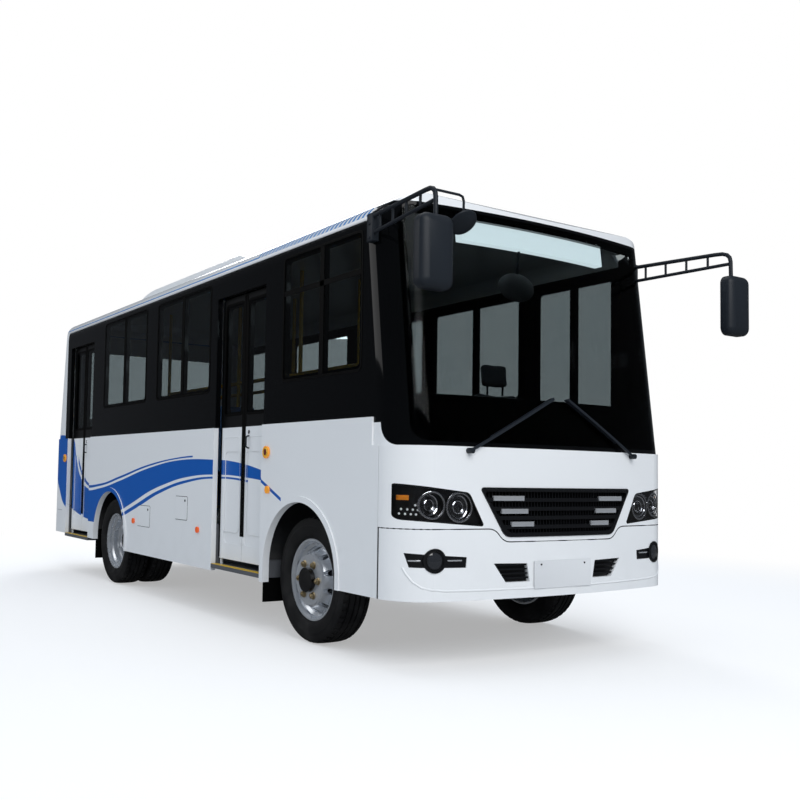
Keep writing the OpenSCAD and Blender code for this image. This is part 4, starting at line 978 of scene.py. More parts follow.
@dataclass(frozen=True)
class Woven(Finish):
    """Seat cloth with a fine weave."""

    thread: float = 420.0
    thread_bump: float = 0.3
    thread_depth: float = 0.001
    sheen: float = 0.3

    def extras(self, nodes: Nodes, shader: Node) -> None:
        """Adds the weave's threads and a soft sheen."""
        weave = nodes.add("TexWave", wave_type="BANDS", bands_direction="DIAGONAL")
        nodes.link(nodes.coordinates(), weave.inputs["Vector"])
        weave.inputs["Scale"].default_value = self.thread
        nodes.bump(weave.outputs["Fac"], self.thread_bump, self.thread_depth, shader)
        shader.inputs["Sheen Weight"].default_value = self.sheen


@dataclass
class Layout:
    """Places and sizes that the pieces share, from the frame where it gives them."""

    front_axle: float = 0.0
    rear_axle: float = 0.0
    half_w: float = 1.12
    belt_step: float = 0.012
    overhang: float = 1.195
    bow_r: float = 5.85
    corner_r: float = 0.26
    crease: float = math.radians(4)
    gutter: float = 2.590
    belt: float = 1.418
    sill: float = 1.255
    rake: float = math.radians(7)
    floor_z: float = 0.69

    def __post_init__(self) -> None:
        """Reads the axles from the frame and works out the front corner's centre."""
        self.front_axle = sum(v.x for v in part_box("front_tyre_right")) / 2
        self.rear_axle = sum(v.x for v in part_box("rear_tyres_right")) / 2
        self.corner_y = self.half_w - self.corner_r
        self.bow_x = self.front_axle + self.overhang - self.bow_r
        run = self.bow_r - self.corner_r * math.cos(self.crease)
        rise = self.corner_r * math.sin(self.crease)
        turn = math.atan2(rise, run) + math.asin(self.corner_y / math.hypot(run, rise))
        corner_turn = turn + self.crease
        self.corner_x = self.bow_x + self.bow_r * math.cos(turn) - self.corner_r * math.cos(corner_turn)
        self.meet_y = self.bow_r * math.sin(turn)

    def nose(self, y: float, inset: float = 0.0) -> float:
        """X of the upright front outline, drawn in by an inset, at a given Y."""
        if abs(y) < self.meet_y:
            return self.bow_x + math.sqrt((self.bow_r - inset) ** 2 - y * y)
        return self.corner_x + math.sqrt((self.corner_r - inset) ** 2 - (abs(y) - self.corner_y) ** 2)

    def screen(self, y: float, z: float, inset: float = 0.0) -> float:
        """X of the raked windscreen, drawn in by an inset, at a given Y and Z."""
        return self.nose(y, inset + self.belt_step) - (z - self.sill) * math.tan(self.rake)

    def ahead(self, x: float) -> float:
        """X of a place given ahead of the front axle."""
        return self.front_axle + x


@dataclass
class Palette:
    """All finishes of the bus."""

    layout: Layout

    def __post_init__(self) -> None:
        """Makes every finish."""
        place = self.layout
        white, blue, dark = (0.815, 0.824, 0.828), (0.0, 0.10, 0.44), (0.002, 0.0023, 0.0027)
        wheel, cast = (0.76, 0.79, 0.83), (0.05, 0.052, 0.056)
        axle_z = sum(v.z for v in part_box("front_tyre_right")) / 2
        cove = CoveMarks(place.gutter + 0.032, place.ahead(-0.70), place.ahead(0.70))
        smooth = {"grain_shade": 0.02, "grain_bump": 0.01}
        paint = smooth | {"coat": 0.15, "dust": 0.06, "specular": 0.3}
        livery = smooth | {"coat": 0.12, "dust": 0.06, "specular": 0.2, "second": blue,
                           "mask": WaveLivery(place.rear_axle)}
        gloss = {"grain_shade": 0.05, "grain_bump": 0.0, "spread": 0.02, "specular": 0.16}
        bright = {"grain_shade": 0.03, "spread": 0.05}
        even = {"grain_shade": 0.0, "grain_bump": 0.0, "spread": 0.0}
        self.white = Finish("white_paint", white, 0.30, **paint)
        # Front panel and bumper: white paint with painted shade in their gaps
        self.nose = GapShadedPaint("nose_paint", white, 0.30, **paint)
        self.bumper = GapShadedPaint("bumper_paint", white, 0.30, rear_edge=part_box("front_bumper")[0].x, **paint)
        self.sides = LiveryPaint("wave_paint", white, 0.30, **livery)
        self.leaf = DoorPaint("door_paint", white, 0.30, belt=place.belt, **livery)
        self.roof = LiveryPaint("roof_paint", white, 0.25, coat=0.5, second=(0.05, 0.24, 0.60), mask=cove,
                                **smooth)
        self.black_gloss = Finish("black_gloss", dark, 0.05, **gloss)
        self.mask = MaskPaint("mask_paint", dark, 0.05, white=white,
                              corner=(place.corner_x - 0.004, place.sill), **gloss)
        self.black = Finish("black_plastic", (0.015, 0.019, 0.025), 0.42, grain_scale=240, grain_shade=0.2,
                            grain_bump=0.05, specular=0.22)
        self.trim = Finish("grille_black", (0.005, 0.0055, 0.007), 0.34, grain_shade=0.08, specular=0.35)
        self.rubber = Finish("seal_rubber", (0.003, 0.003, 0.003), 0.5, grain_scale=160, grain_shade=0.2,
                             specular=0.06)
        self.tyre = Finish("tyre_rubber", (0.007, 0.007, 0.008), 0.72, grain_scale=90, grain_shade=0.3,
                           grain_bump=0.15, dust=0.05, specular=0.3)
        self.chrome = Finish("chrome", (0.78, 0.79, 0.81), 0.10, 1.0, **bright)
        self.silver = Finish("bright_silver", (0.76, 0.78, 0.81), 0.18, 0.7, **bright)
        self.lamp_bowl = Finish("lamp_bowl", (0.16, 0.165, 0.175), 0.16, 1.0, **bright)
        self.mirror = Finish("mirror_glass", (0.85, 0.87, 0.9), 0.02, 1.0, **even)
        self.brass = Finish("nut_brass", (0.62, 0.50, 0.30), 0.32, 1.0, dust=0.1)
        # Wheel metal with painted shade inside the bore
        self.front_rim = BoreShadedMetal("front_wheel_silver", wheel, 0.22, 0.72, grain_shade=0.12, dust=0.12,
                                     axle=(place.front_axle, axle_z))
        self.rear_rim = BoreShadedMetal("rear_wheel_silver", wheel, 0.24, 0.72, grain_shade=0.12, dust=0.2,
                                    axle=(place.rear_axle, axle_z))
        self.frame = Finish("frame_black", (0.02, 0.021, 0.023), 0.5, grain_scale=90, grain_shade=0.25,
                            grain_bump=0.08, dust=0.12)
        self.casting = Finish("casting_grey", cast, 0.55, 0.4, grain_scale=120, grain_shade=0.3,
                              grain_bump=0.2, dust=0.2)
        self.alloy = Finish("case_grey", cast, 0.45, 0.4, grain_scale=80, grain_shade=0.15, dust=0.15)
        self.vinyl = Finish("floor_vinyl", (0.10, 0.105, 0.115), 0.6, grain_scale=300, grain_shade=0.5,
                            grain_bump=0.1)
        self.grey = Finish("dash_grey", (0.010, 0.011, 0.013), 0.6, grain_scale=400, grain_shade=0.2,
                           grain_bump=0.12)
        self.liner = Finish("liner_grey", (0.075, 0.08, 0.086), 0.6, grain_scale=200)
        self.seat = Finish("seat_shell", (0.05, 0.15, 0.36), 0.35, grain_scale=300, grain_bump=0.05)
        self.cloth = Woven("seat_cloth", (0.05, 0.055, 0.065), 0.85, grain_scale=200, grain_shade=0.4)
        self.yellow = Finish("rail_yellow", (0.75, 0.47, 0.03), 0.35, coat=0.3, grain_shade=0.06)
        self.button = Finish("button_dark", (0.16, 0.02, 0.015), 0.35, coat=0.2, grain_shade=0.05)
        self.plate = Finish("blank_plate", (0.72, 0.73, 0.74), 0.35, grain_shade=0.03)
        self.projector = Finish("projector_glass", (0.02, 0.022, 0.026), 0.06, coat=0.8, grain_shade=0.0,
                                grain_bump=0.0)
        self.amber = Lamp("amber_lens", (0.95, 0.30, 0.02), 0.15, coat=0.6)
        self.red = Lamp("red_lens", (0.60, 0.015, 0.02), 0.15, coat=0.6)
        self.markers = MarkerLamp("marker_lens", (0.95, 0.36, 0.03), 0.15, coat=0.6)
        self.clear_lamp = Lamp("clear_lens", (0.85, 0.87, 0.9), 0.12, coat=0.6, cell=90, glow=0.25)
        self.sign = LitPanel("sign_board", (0.80, 0.89, 0.93), 0.4, grain_scale=700, grain_shade=0.05,
                             glow=2.5)
        self.screen = Glass("screen_glass", (0.27, 0.30, 0.305), 0.0, specular=0.12, ior=1.10, **even)
        self.tint = Glass("tinted_glass", (0.34, 0.38, 0.39), 0.0, specular=0.2, ior=1.16, **even)
        self.clear = Glass("lamp_glass", (0.97, 0.98, 1.0), 0.0, ior=1.3, **even)


def dress(obj: Piece, finish: Finish) -> None:
    """Gives a piece one finish all over."""
    if obj.material_slots:
        for slot in obj.material_slots:
            slot.material = finish.material()
    else:
        obj.data.materials.append(finish.material())


def mount(obj: Piece, body: Body, finish: Finish) -> Piece:
    """Dresses a new piece and lets it ride on a body.

    Args:
        obj: The piece.
        body: What it moves with.
        finish: Its finish.

    Returns:
        The piece.
    """
    dress(obj, finish)
    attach(obj, body.value)
    LOG.info("%s rides on %s", obj.name, body.value)
    return obj


@dataclass
class Bodywork:
    """Finishes of the frame's own nodes."""

    palette: Palette

    def build(self) -> None:
        """Dresses every node of the frame."""
        p = self.palette
        table: dict[Finish, Sequence[str]] = {
            p.frame: ("chassis_frame", "wheel_houses"),
            p.vinyl: ("floor",),
            p.sides: ("right_side_panel", "left_side_panel", "rear_wall"),
            p.leaf: ("front_door_rear_leaf", "front_door_front_leaf", "rear_door_rear_leaf",
                     "rear_door_front_leaf"),
            p.black_gloss: ("right_window_band", "left_window_band"),
            p.mask: ("front_mask",),
            p.tint: ("side_windows", "rear_window", "front_door_rear_glass", "front_door_front_glass",
                     "rear_door_rear_glass", "rear_door_front_glass"),
            p.screen: ("windscreen",),
            p.roof: ("roof",),
            p.white: ("roof_pod", "rear_bumper"),
            p.nose: ("front_panel",),
            p.bumper: ("front_bumper",),
            p.red: ("tail_lamps",),
            p.trim: ("headlamp_bowls", "grille", "fog_lamps"),
            p.lamp_bowl: ("headlamp_reflectors",),
            p.chrome: ("grille_inserts",),
            p.clear: ("headlamp_lenses",),
            p.sign: ("destination_sign",),
            p.black: ("wipers", "mirrors", "steering_wheel"),
            p.grey: ("dashboard",),
            p.cloth: ("driver_seat",),
            p.seat: ("passenger_seats",),
            p.yellow: ("handrails",),
            p.markers: ("side_lamps",),
            p.rubber: ("mud_flaps",),
            p.alloy: ("battery_packs", "drive_motor"),
            p.casting: ("front_axle", "rear_axle", "leaf_springs", "knuckle_right", "knuckle_left",
                        "tie_rod"),
            p.front_rim: ("front_rim_right", "front_rim_left"),
            p.rear_rim: ("rear_rims_right", "rear_rims_left"),
            p.tyre: ("front_tyre_right", "front_tyre_left", "rear_tyres_right", "rear_tyres_left"),
        }
        for finish, names in table.items():
            for name in names:
                dress(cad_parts[name], finish)
                LOG.info("%s is dressed in %s", name, finish.name)


def round_rect(low: Pair, high: Pair, radius: float, steps: int = 5) -> list[Pair]:
    """Lists the points of a rectangle with round corners.

    Args:
        low: Lowest corner.
        high: Highest corner.
        radius: Radius of the corners.
        steps: Steps of each corner.

    Returns:
        The points in order, anticlockwise.
    """
    points = []
    corners = ((high[0], high[1]), (low[0], high[1]), (low[0], low[1]), (high[0], low[1]))
    for corner, (x, y) in enumerate(corners):
        mid = (x + (-radius if x == high[0] else radius), y + (-radius if y == high[1] else radius))
        for step in range(steps + 1):
            turn = math.pi / 2 * (corner + step / steps)
            points.append((mid[0] + radius * math.cos(turn), mid[1] + radius * math.sin(turn)))
    return points


def side_frame(name: str, low: Pair, high: Pair, radius: float, rim: float, y: float,
               depth: float) -> Piece:
    """Makes a rounded frame that stands upright along the bus.

    Args:
        name: Name of the piece.
        low: Its lowest X and Z.
        high: Its highest X and Z.
        radius: Radius of its outer corners.
        rim: Width of the frame.
        y: Its inner face.
        depth: Its thickness from there, with the side's sign.

    Returns:
        The frame.
    """
    outline = [(x, y, z) for x, z in round_rect(low, high, radius)]
    obj = Bench.prism(name, outline, (0, depth, 0))
    Bench.hollow(obj, lambda c, n: abs(n.y) > FLAT, rim)
    return obj


@dataclass
class Assembly:
    """A group of fittings, with the finishes and places that all groups share."""

    palette: Palette
    layout: Layout

    def build(self) -> None:
        """Builds the group."""
        raise NotImplementedError


@dataclass
class FrontEnd(Assembly):
    """Plate, lamps, grille trim and bumper trim on the bowed front."""

    plate_half: float = 0.235
    plate_z: Pair = (0.444, 0.604)
    plate_gap: float = 0.001
    plate_t: float = 0.005
    screw_y: float = 0.18
    screw_down: float = 0.022
    screw: tuple[Pair, ...] = ((0.003, 0.0), (0.003, 0.008), (0.0065, 0.006), (0.007, 0.0))
    lamps: tuple[tuple[float, float, float], ...] = ((0.754, 0.914, 0.074), (0.926, 0.924, 0.066))
    core_share: float = 0.52
    bezel_more: float = 0.013
    bezel_shares: tuple[float, ...] = (0.86, 0.93, 1.0)
    bezel_sunk: float = 0.010
    led_r: float = 0.007
    leds: tuple[Pair, ...] = ((1.000, 0.872), (1.022, 0.873), (1.044, 0.874), (1.064, 0.875), (0.992, 0.897),
                              (1.014, 0.898), (1.036, 0.899), (1.058, 0.900), (1.004, 0.922))
    turn_y: Pair = (1.036, 1.074)
    turn_z: Pair = (0.950, 0.978)
    fog: Pair = (0.914, 0.619)
    fog_r: float = 0.050
    fog_slips: tuple[Pair, ...] = ((0.742, 0.832), (0.992, 1.044))
    slip_half: float = 0.004
    insert_rows: tuple[tuple[float, float, float], ...] = (
        (0.315, 0.535, 0.966), (0.285, 0.478, 0.892), (0.240, 0.405, 0.818))
    insert_half: float = 0.014
    crease: tuple[Pair, ...] = ((1.064, 0.580), (1.050, 0.545), (1.026, 0.505), (0.985, 0.474), (0.93, 0.460),
                                (0.85, 0.453), (0.70, 0.450), (0.50, 0.449), (0.25, 0.448), (0.0, 0.448))
    crease_r: float = 0.0075
    crease_in: float = 0.003
    joint_z: Pair = (0.717, 0.792)
    joint_y: Pair = (0.452, 0.520)
    joint_turn: float = 0.090
    joint_r: float = 0.005
    joint_in: float = 0.0038
    strip_half: float = 0.585
    strip_z: Pair = (1.004, 1.020)
    dot_pitch: float = 0.03
    shade_rise: float = 0.29
    shade_half: float = 1.03
    shade_in: Pair = (0.016, 0.020)

    def build(self) -> None:
        """Builds all front fittings."""
        self.plate()
        for side in Side:
            for y, z, r in self.lamps:
                self.lamp(side, y, z, r)
                self.bezel(side, y, z, r + self.bezel_more)
            self.led_rows(side)
            self.turn_lamp(side)
            self.fog_lamp(side)
        self.grille_strip()
        self.inserts()
        self.bumper_crease()
        self.bumper_joint()
        self.screen_shade()

    def bowed(self, name: str, span: Pair, heights: Pair, out: float, depth: float,
              steps: int = 14) -> Piece:
        """Bends a flat strip along the front's outline.

        Args:
            name: Name of the strip.
            span: Its ends in Y.
            heights: Its lower and upper edge.
            out: How far its front stands ahead of the outline.
            depth: Its thickness.
            steps: Steps along it.

        Returns:
            The strip.
        """
        ys = [span[0] + (span[1] - span[0]) * i / steps for i in range(steps + 1)]
        front = [(self.layout.nose(y, -out), y, heights[0]) for y in ys]
        back = [(self.layout.nose(y, depth - out), y, heights[0]) for y in reversed(ys)]
        return Bench.prism(name, front + back, (0, 0, heights[1] - heights[0]))

    def seat(self, side: Side, y: float, z: float, inset: float) -> Matrix:
        """Finds the place of a fitting that stands square to the front's outline.

        Args:
            side: Side of the bus.
            y: The fitting's distance from the middle.
            z: Its height.
            inset: How far it sits behind the outline.

        Returns:
            Its place, from the origin.
        """
        lean = math.asin(min(1.0, max(0.0, (y - self.layout.corner_y) / self.layout.corner_r)))
        spot = (self.layout.nose(y, inset), side.value * y, z)
        return Matrix.Translation(spot) @ Matrix.Rotation(side.value * lean, 4, "Z")

    def plate(self) -> None:
        """Hangs the blank number plate with its two screws."""
        face = self.layout.nose(0) + self.plate_gap
        low, high = self.plate_z
        plate = Bench.block("number_plate", (face, -self.plate_half, low),
                            (face + self.plate_t, self.plate_half, high))
        Bench.inset(plate, lambda c, n: n.x > FLAT, 0.006, 0.0)
        Bench.inset(plate, lambda c, n: n.x > FLAT and abs(c.y) < 0.01, 0.002, -0.0012)
        Bench.soften(plate, 0.001)
        mount(plate, Body.BUS, self.palette.plate)
        screws = [Bench.lathe("plate_screw", (face, y, high - self.screw_down), Axis.X, self.screw, 16)
                  for y in (-self.screw_y, self.screw_y)]
        mount(Bench.join("plate_screws", screws), Body.BUS, self.palette.chrome)

    def lamp(self, side: Side, y: float, z: float, r: float) -> None:
        """Puts a bright ring and a projector into a lamp's reflector.

        Args:
            side: Side of the bus.
            y: The lamp's distance from the middle.
            z: Its height.
            r: Radius of its reflector.
        """
        spot = (self.layout.nose(y + r), side.value * y, z)
        core = r * self.core_share
        chrome, dark = (self.palette.chrome, "chrome"), (self.palette.projector, "black_gloss")
        shapes = (("lamp_ring", chrome, ((-0.024, r - 0.004), (-0.010, r - 0.003), (-0.008, r - 0.007),
                                         (-0.013, r - 0.015), (-0.024, r - 0.011), (-0.024, r - 0.004))),
                  ("lamp_barrel", chrome, ((-0.034, core), (-0.014, core), (-0.012, core - 0.003),
                                           (-0.014, core - 0.007), (-0.034, core - 0.007), (-0.034, core))),
                  ("lamp_bulb", dark, ((-0.033, 0.0), (-0.033, core - 0.008), (-0.022, core - 0.008),
                                       (-0.017, core * 0.5), (-0.015, core * 0.2), (-0.0148, 0.0))))
        for name, (finish, slot), profile in shapes:
            obj = Bench.lathe(f"{name}_{side.label}_{round(r * 1000)}", spot, Axis.X, profile, 48)
            Bench.smooth(obj)
            mount(obj, Body.BUS, finish)

    def bezel(self, side: Side, y: float, z: float, r: float) -> None:
        """Lays a bright ring round a lamp, bent to follow the lens."""
        spot = (self.layout.nose(y) + 0.05, side.value * y, z)
        rim = [(0.0, r * share) for share in self.bezel_shares]
        obj = Bench.lathe(f"lamp_bezel_{side.label}_{round(r * 1000)}", spot, Axis.X, rim, 64)
        Bench.modify(obj, "SHRINKWRAP", target=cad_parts["headlamp_lenses"], wrap_method="PROJECT",
                     use_project_x=True, use_negative_direction=True, use_positive_direction=False,
                     offset=-self.bezel_sunk)
        Bench.modify(obj, "SOLIDIFY", thickness=0.004, offset=0.0)
        Bench.soften(obj, 0.0015)
        mount(obj, Body.BUS, self.palette.chrome)

    def screen_shade(self) -> None:
        """Blackens the foot of the windscreen with a bent sheet behind the glass."""
        low, rise = self.layout.sill + 0.004, self.shade_rise
        ys = [self.shade_half * (i / 20 - 1) for i in range(41)]
        front = [(self.layout.screen(y, low, self.shade_in[0]), y, low) for y in ys]
        back = [(self.layout.screen(y, low, self.shade_in[1]), y, low) for y in reversed(ys)]
        obj = Bench.prism("screen_shade", front + back, (-rise * math.tan(self.layout.rake), 0, rise))
        Bench.soften(obj, 0.001, 1)
        mount(obj, Body.BUS, self.palette.black_gloss)

    def led_rows(self, side: Side) -> None:
        """Sets the rows of small day lamps into the lamp's outer corner."""
        r = self.led_r
        dome = ((0.0, 0.0), (0.0, r), (r * 0.5, r * 0.8), (r * 0.8, 0.0))
        first = Bench.lathe("led", ORIGIN, Axis.X, dome, 12)
        back = Matrix.Translation((-0.001, 0, 0))
        dots = [Bench.copy(first, "led", back @ self.seat(side, y, z, 0.022)) for y, z in self.leds]
        bpy.data.objects.remove(first)
        obj = Bench.join(f"day_lamps_{side.label}", dots)
        Bench.smooth(obj)
        mount(obj, Body.BUS, self.palette.clear_lamp)

    def turn_lamp(self, side: Side) -> None:
        """Puts the amber turn lamp into the lamp's upper outer corner."""
        obj = self.bowed(f"turn_lamp_{side.label}", side.span(*self.turn_y), self.turn_z, -0.014, 0.008)
        Bench.soften(obj, 0.002)
        mount(obj, Body.BUS, self.palette.amber)

    def fog_lamp(self, side: Side) -> None:
        """Sets lens, ring and bright slips into a fog lamp's surround."""
        (y, z), r = self.fog, self.fog_r
        place = self.seat(side, y, z, 0.004)
        shapes = (("fog_lens", self.palette.projector, "black_gloss",
                   ((-0.006, 0.0), (-0.006, r), (0.002, r), (0.006, r * 0.8), (0.009, r * 0.4),
                    (0.010, 0.0))),
                  ("fog_ring", self.palette.trim, "black_plastic",
                   ((-0.006, r + 0.004), (0.007, r + 0.003), (0.008, r - 0.001), (0.004, r - 0.004),
                    (-0.006, r - 0.002), (-0.006, r + 0.004))))
        for label, finish, slot, profile in shapes:
            first = Bench.lathe(label, ORIGIN, Axis.X, profile, 40)
            obj = Bench.copy(first, f"{label}_{side.label}", place)
            bpy.data.objects.remove(first)
            Bench.smooth(obj)
            mount(obj, Body.BUS, finish)
        heights = (z - self.slip_half, z + self.slip_half)
        slips = [self.bowed("slip", side.span(*ends), heights, 0.001, 0.006) for ends in self.fog_slips]
        slip = Bench.join(f"fog_slips_{side.label}", slips)
        Bench.soften(slip, 0.0012)
        mount(slip, Body.BUS, self.palette.silver)

    def inserts(self) -> None:
        """Sets the bright bars into both ends of the grille in place of the plain ones."""
        bars = []
        for side in Side:
            for inner, outer, z in self.insert_rows:
                heights = (z - self.insert_half, z + self.insert_half)
                bar = self.bowed("bar", side.span(inner, outer), heights, 0.010, 0.016, 6)
                Bench.inset(bar, lambda c, n: n.x > 0.7, 0.004, -0.002)
                bars.append(bar)
        obj = Bench.join("grille_bars", bars)
        Bench.soften(obj, 0.0015)
        mount(obj, Body.BUS, self.palette.silver)
        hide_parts("grille_inserts")

    def bumper_crease(self) -> None:
        """Runs the raised crease along the bumper's lower edge and up its corners."""
        line = [(-y, z) for y, z in self.crease] + list(reversed(self.crease[:-1]))
        points = [(self.layout.nose(y, self.crease_in), y, z) for y, z in line]
        mount(Bench.pipe("bumper_crease", points, self.crease_r), Body.BUS, self.palette.white)

    def bumper_joint(self) -> None:
        """Lays the rubber strip into the joint between front panel and bumper, dipping under the grille."""
        place, bend = self.layout, self.joint_turn
        (low, high), (inner, outer) = self.joint_z, self.joint_y
        slope = math.atan2(high - low, outer - inner)
        reach = bend * math.tan(slope / 2)
        turns = [slope * i / 4 for i in range(5)]
        line = [(0.0, low), (0.25, low)]
        line += [(inner - reach + bend * math.sin(t), low + bend - bend * math.cos(t)) for t in turns]
        line += [(outer + reach - bend * math.sin(t), high - bend + bend * math.cos(t))
                 for t in reversed(turns)]
        line += [(y, high) for y in (0.65, 0.75, place.meet_y)]
        half = [(place.nose(y, self.joint_in), y, z) for y, z in line]
        start = math.asin((place.meet_y - place.corner_y) / place.corner_r)
        arm = place.corner_r - self.joint_in
        for step in range(1, 10):
            turn = start + (math.pi / 2 - start) * step / 9
            half.append((place.corner_x + arm * math.cos(turn), place.corner_y + arm * math.sin(turn), high))
        half.append((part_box("front_bumper")[0].x, half[-1][1], high))
        points = [(x, -y, z) for x, y, z in reversed(half[1:])] + half
        mount(Bench.pipe("bumper_joint", points, self.joint_r), Body.BUS, self.palette.rubber)

    def grille_strip(self) -> None:
        """Lays the dotted strip along the grille's upper edge."""
        strip = self.bowed("grille_strip", (-self.strip_half, self.strip_half), self.strip_z, 0.009, 0.004)
        Bench.soften(strip, 0.001)
        mount(strip, Body.BUS, self.palette.trim)
        dome = ((0.0, 0.0), (0.0, 0.004), (0.002, 0.003), (0.0025, 0.0))
        first = Bench.lathe("dot", ORIGIN, Axis.X, dome, 8)
        count = int(self.strip_half / self.dot_pitch)
        middle = sum(self.strip_z) / 2
        dots = [Bench.copy(first, "dot", Matrix.Translation((self.layout.nose(y, -0.0085), y, middle)))
                for y in (i * self.dot_pitch for i in range(-count, count + 1))]
        bpy.data.objects.remove(first)
        mount(Bench.join("grille_dots", dots), Body.BUS, self.palette.lamp_bowl)


@dataclass
class Glazing(Assembly):
    """Rubber frames and sliding bars of the side windows."""

    low: float = 1.700
    high: float = 2.530
    rim: float = 0.016
    radius: float = 0.045
    proud: float = 0.003
    bar: float = 0.024
    lap: float = 0.008
    short: float = 0.01
    transom: Pair = (2.268, 2.304)
    driver_low: float = 1.500

    def windows(self, side: Side) -> list[tuple[float, float, float, float]]:
        """Lists a side's windows as rear edge, front edge, lower edge and sliding bar."""
        a, r = self.layout.ahead, self.layout.rear_axle
        if side is Side.RIGHT:
            return [(r - 0.290, r + 0.815, self.low, r + 0.270), (a(-2.465), a(-1.400), self.low, a(-1.925)),
                    (a(-0.265), a(0.660), self.low, a(0.215))]
        return [(r - 1.360, r - 0.450, self.low, r - 0.900), (r - 0.290, r + 0.815, self.low, r + 0.270),
                (a(-2.465), a(-1.495), self.low, a(-1.975)), (a(-1.370), a(-0.265), self.low, a(-0.810)),
                (a(-0.105), a(0.660), self.driver_low, a(0.275))]

    def build(self) -> None:
        """Frames every side window."""
        wall, lap, short = self.layout.half_w - self.layout.belt_step, self.lap, self.short
        for side in Side:
            for number, (rear, front, low, slide) in enumerate(self.windows(side)):
                name = f"window_frame_{side.label}_{number}"
                parts = [side_frame(name, (rear - lap, low - lap), (front + lap, self.high + lap),
                                    self.radius, self.rim, side.value * (wall - 0.001),
                                    side.value * (self.proud + 0.001))]
                inner, outer = side.span(wall - 0.0005, wall + self.proud * 0.8)
                parts.append(Bench.block(name, (slide - self.bar, inner, low + short),
                                         (slide + self.bar, outer, self.high - short)))
                if side is Side.RIGHT and number == 2:
                    parts.append(Bench.block(name, (rear + short, inner, self.transom[0]),
                                             (front - short, outer, self.transom[1])))
                for part in parts:
                    Bench.soften(part, 0.0008, 1)
                mount(Bench.join(name, parts), Body.BUS, self.palette.rubber)


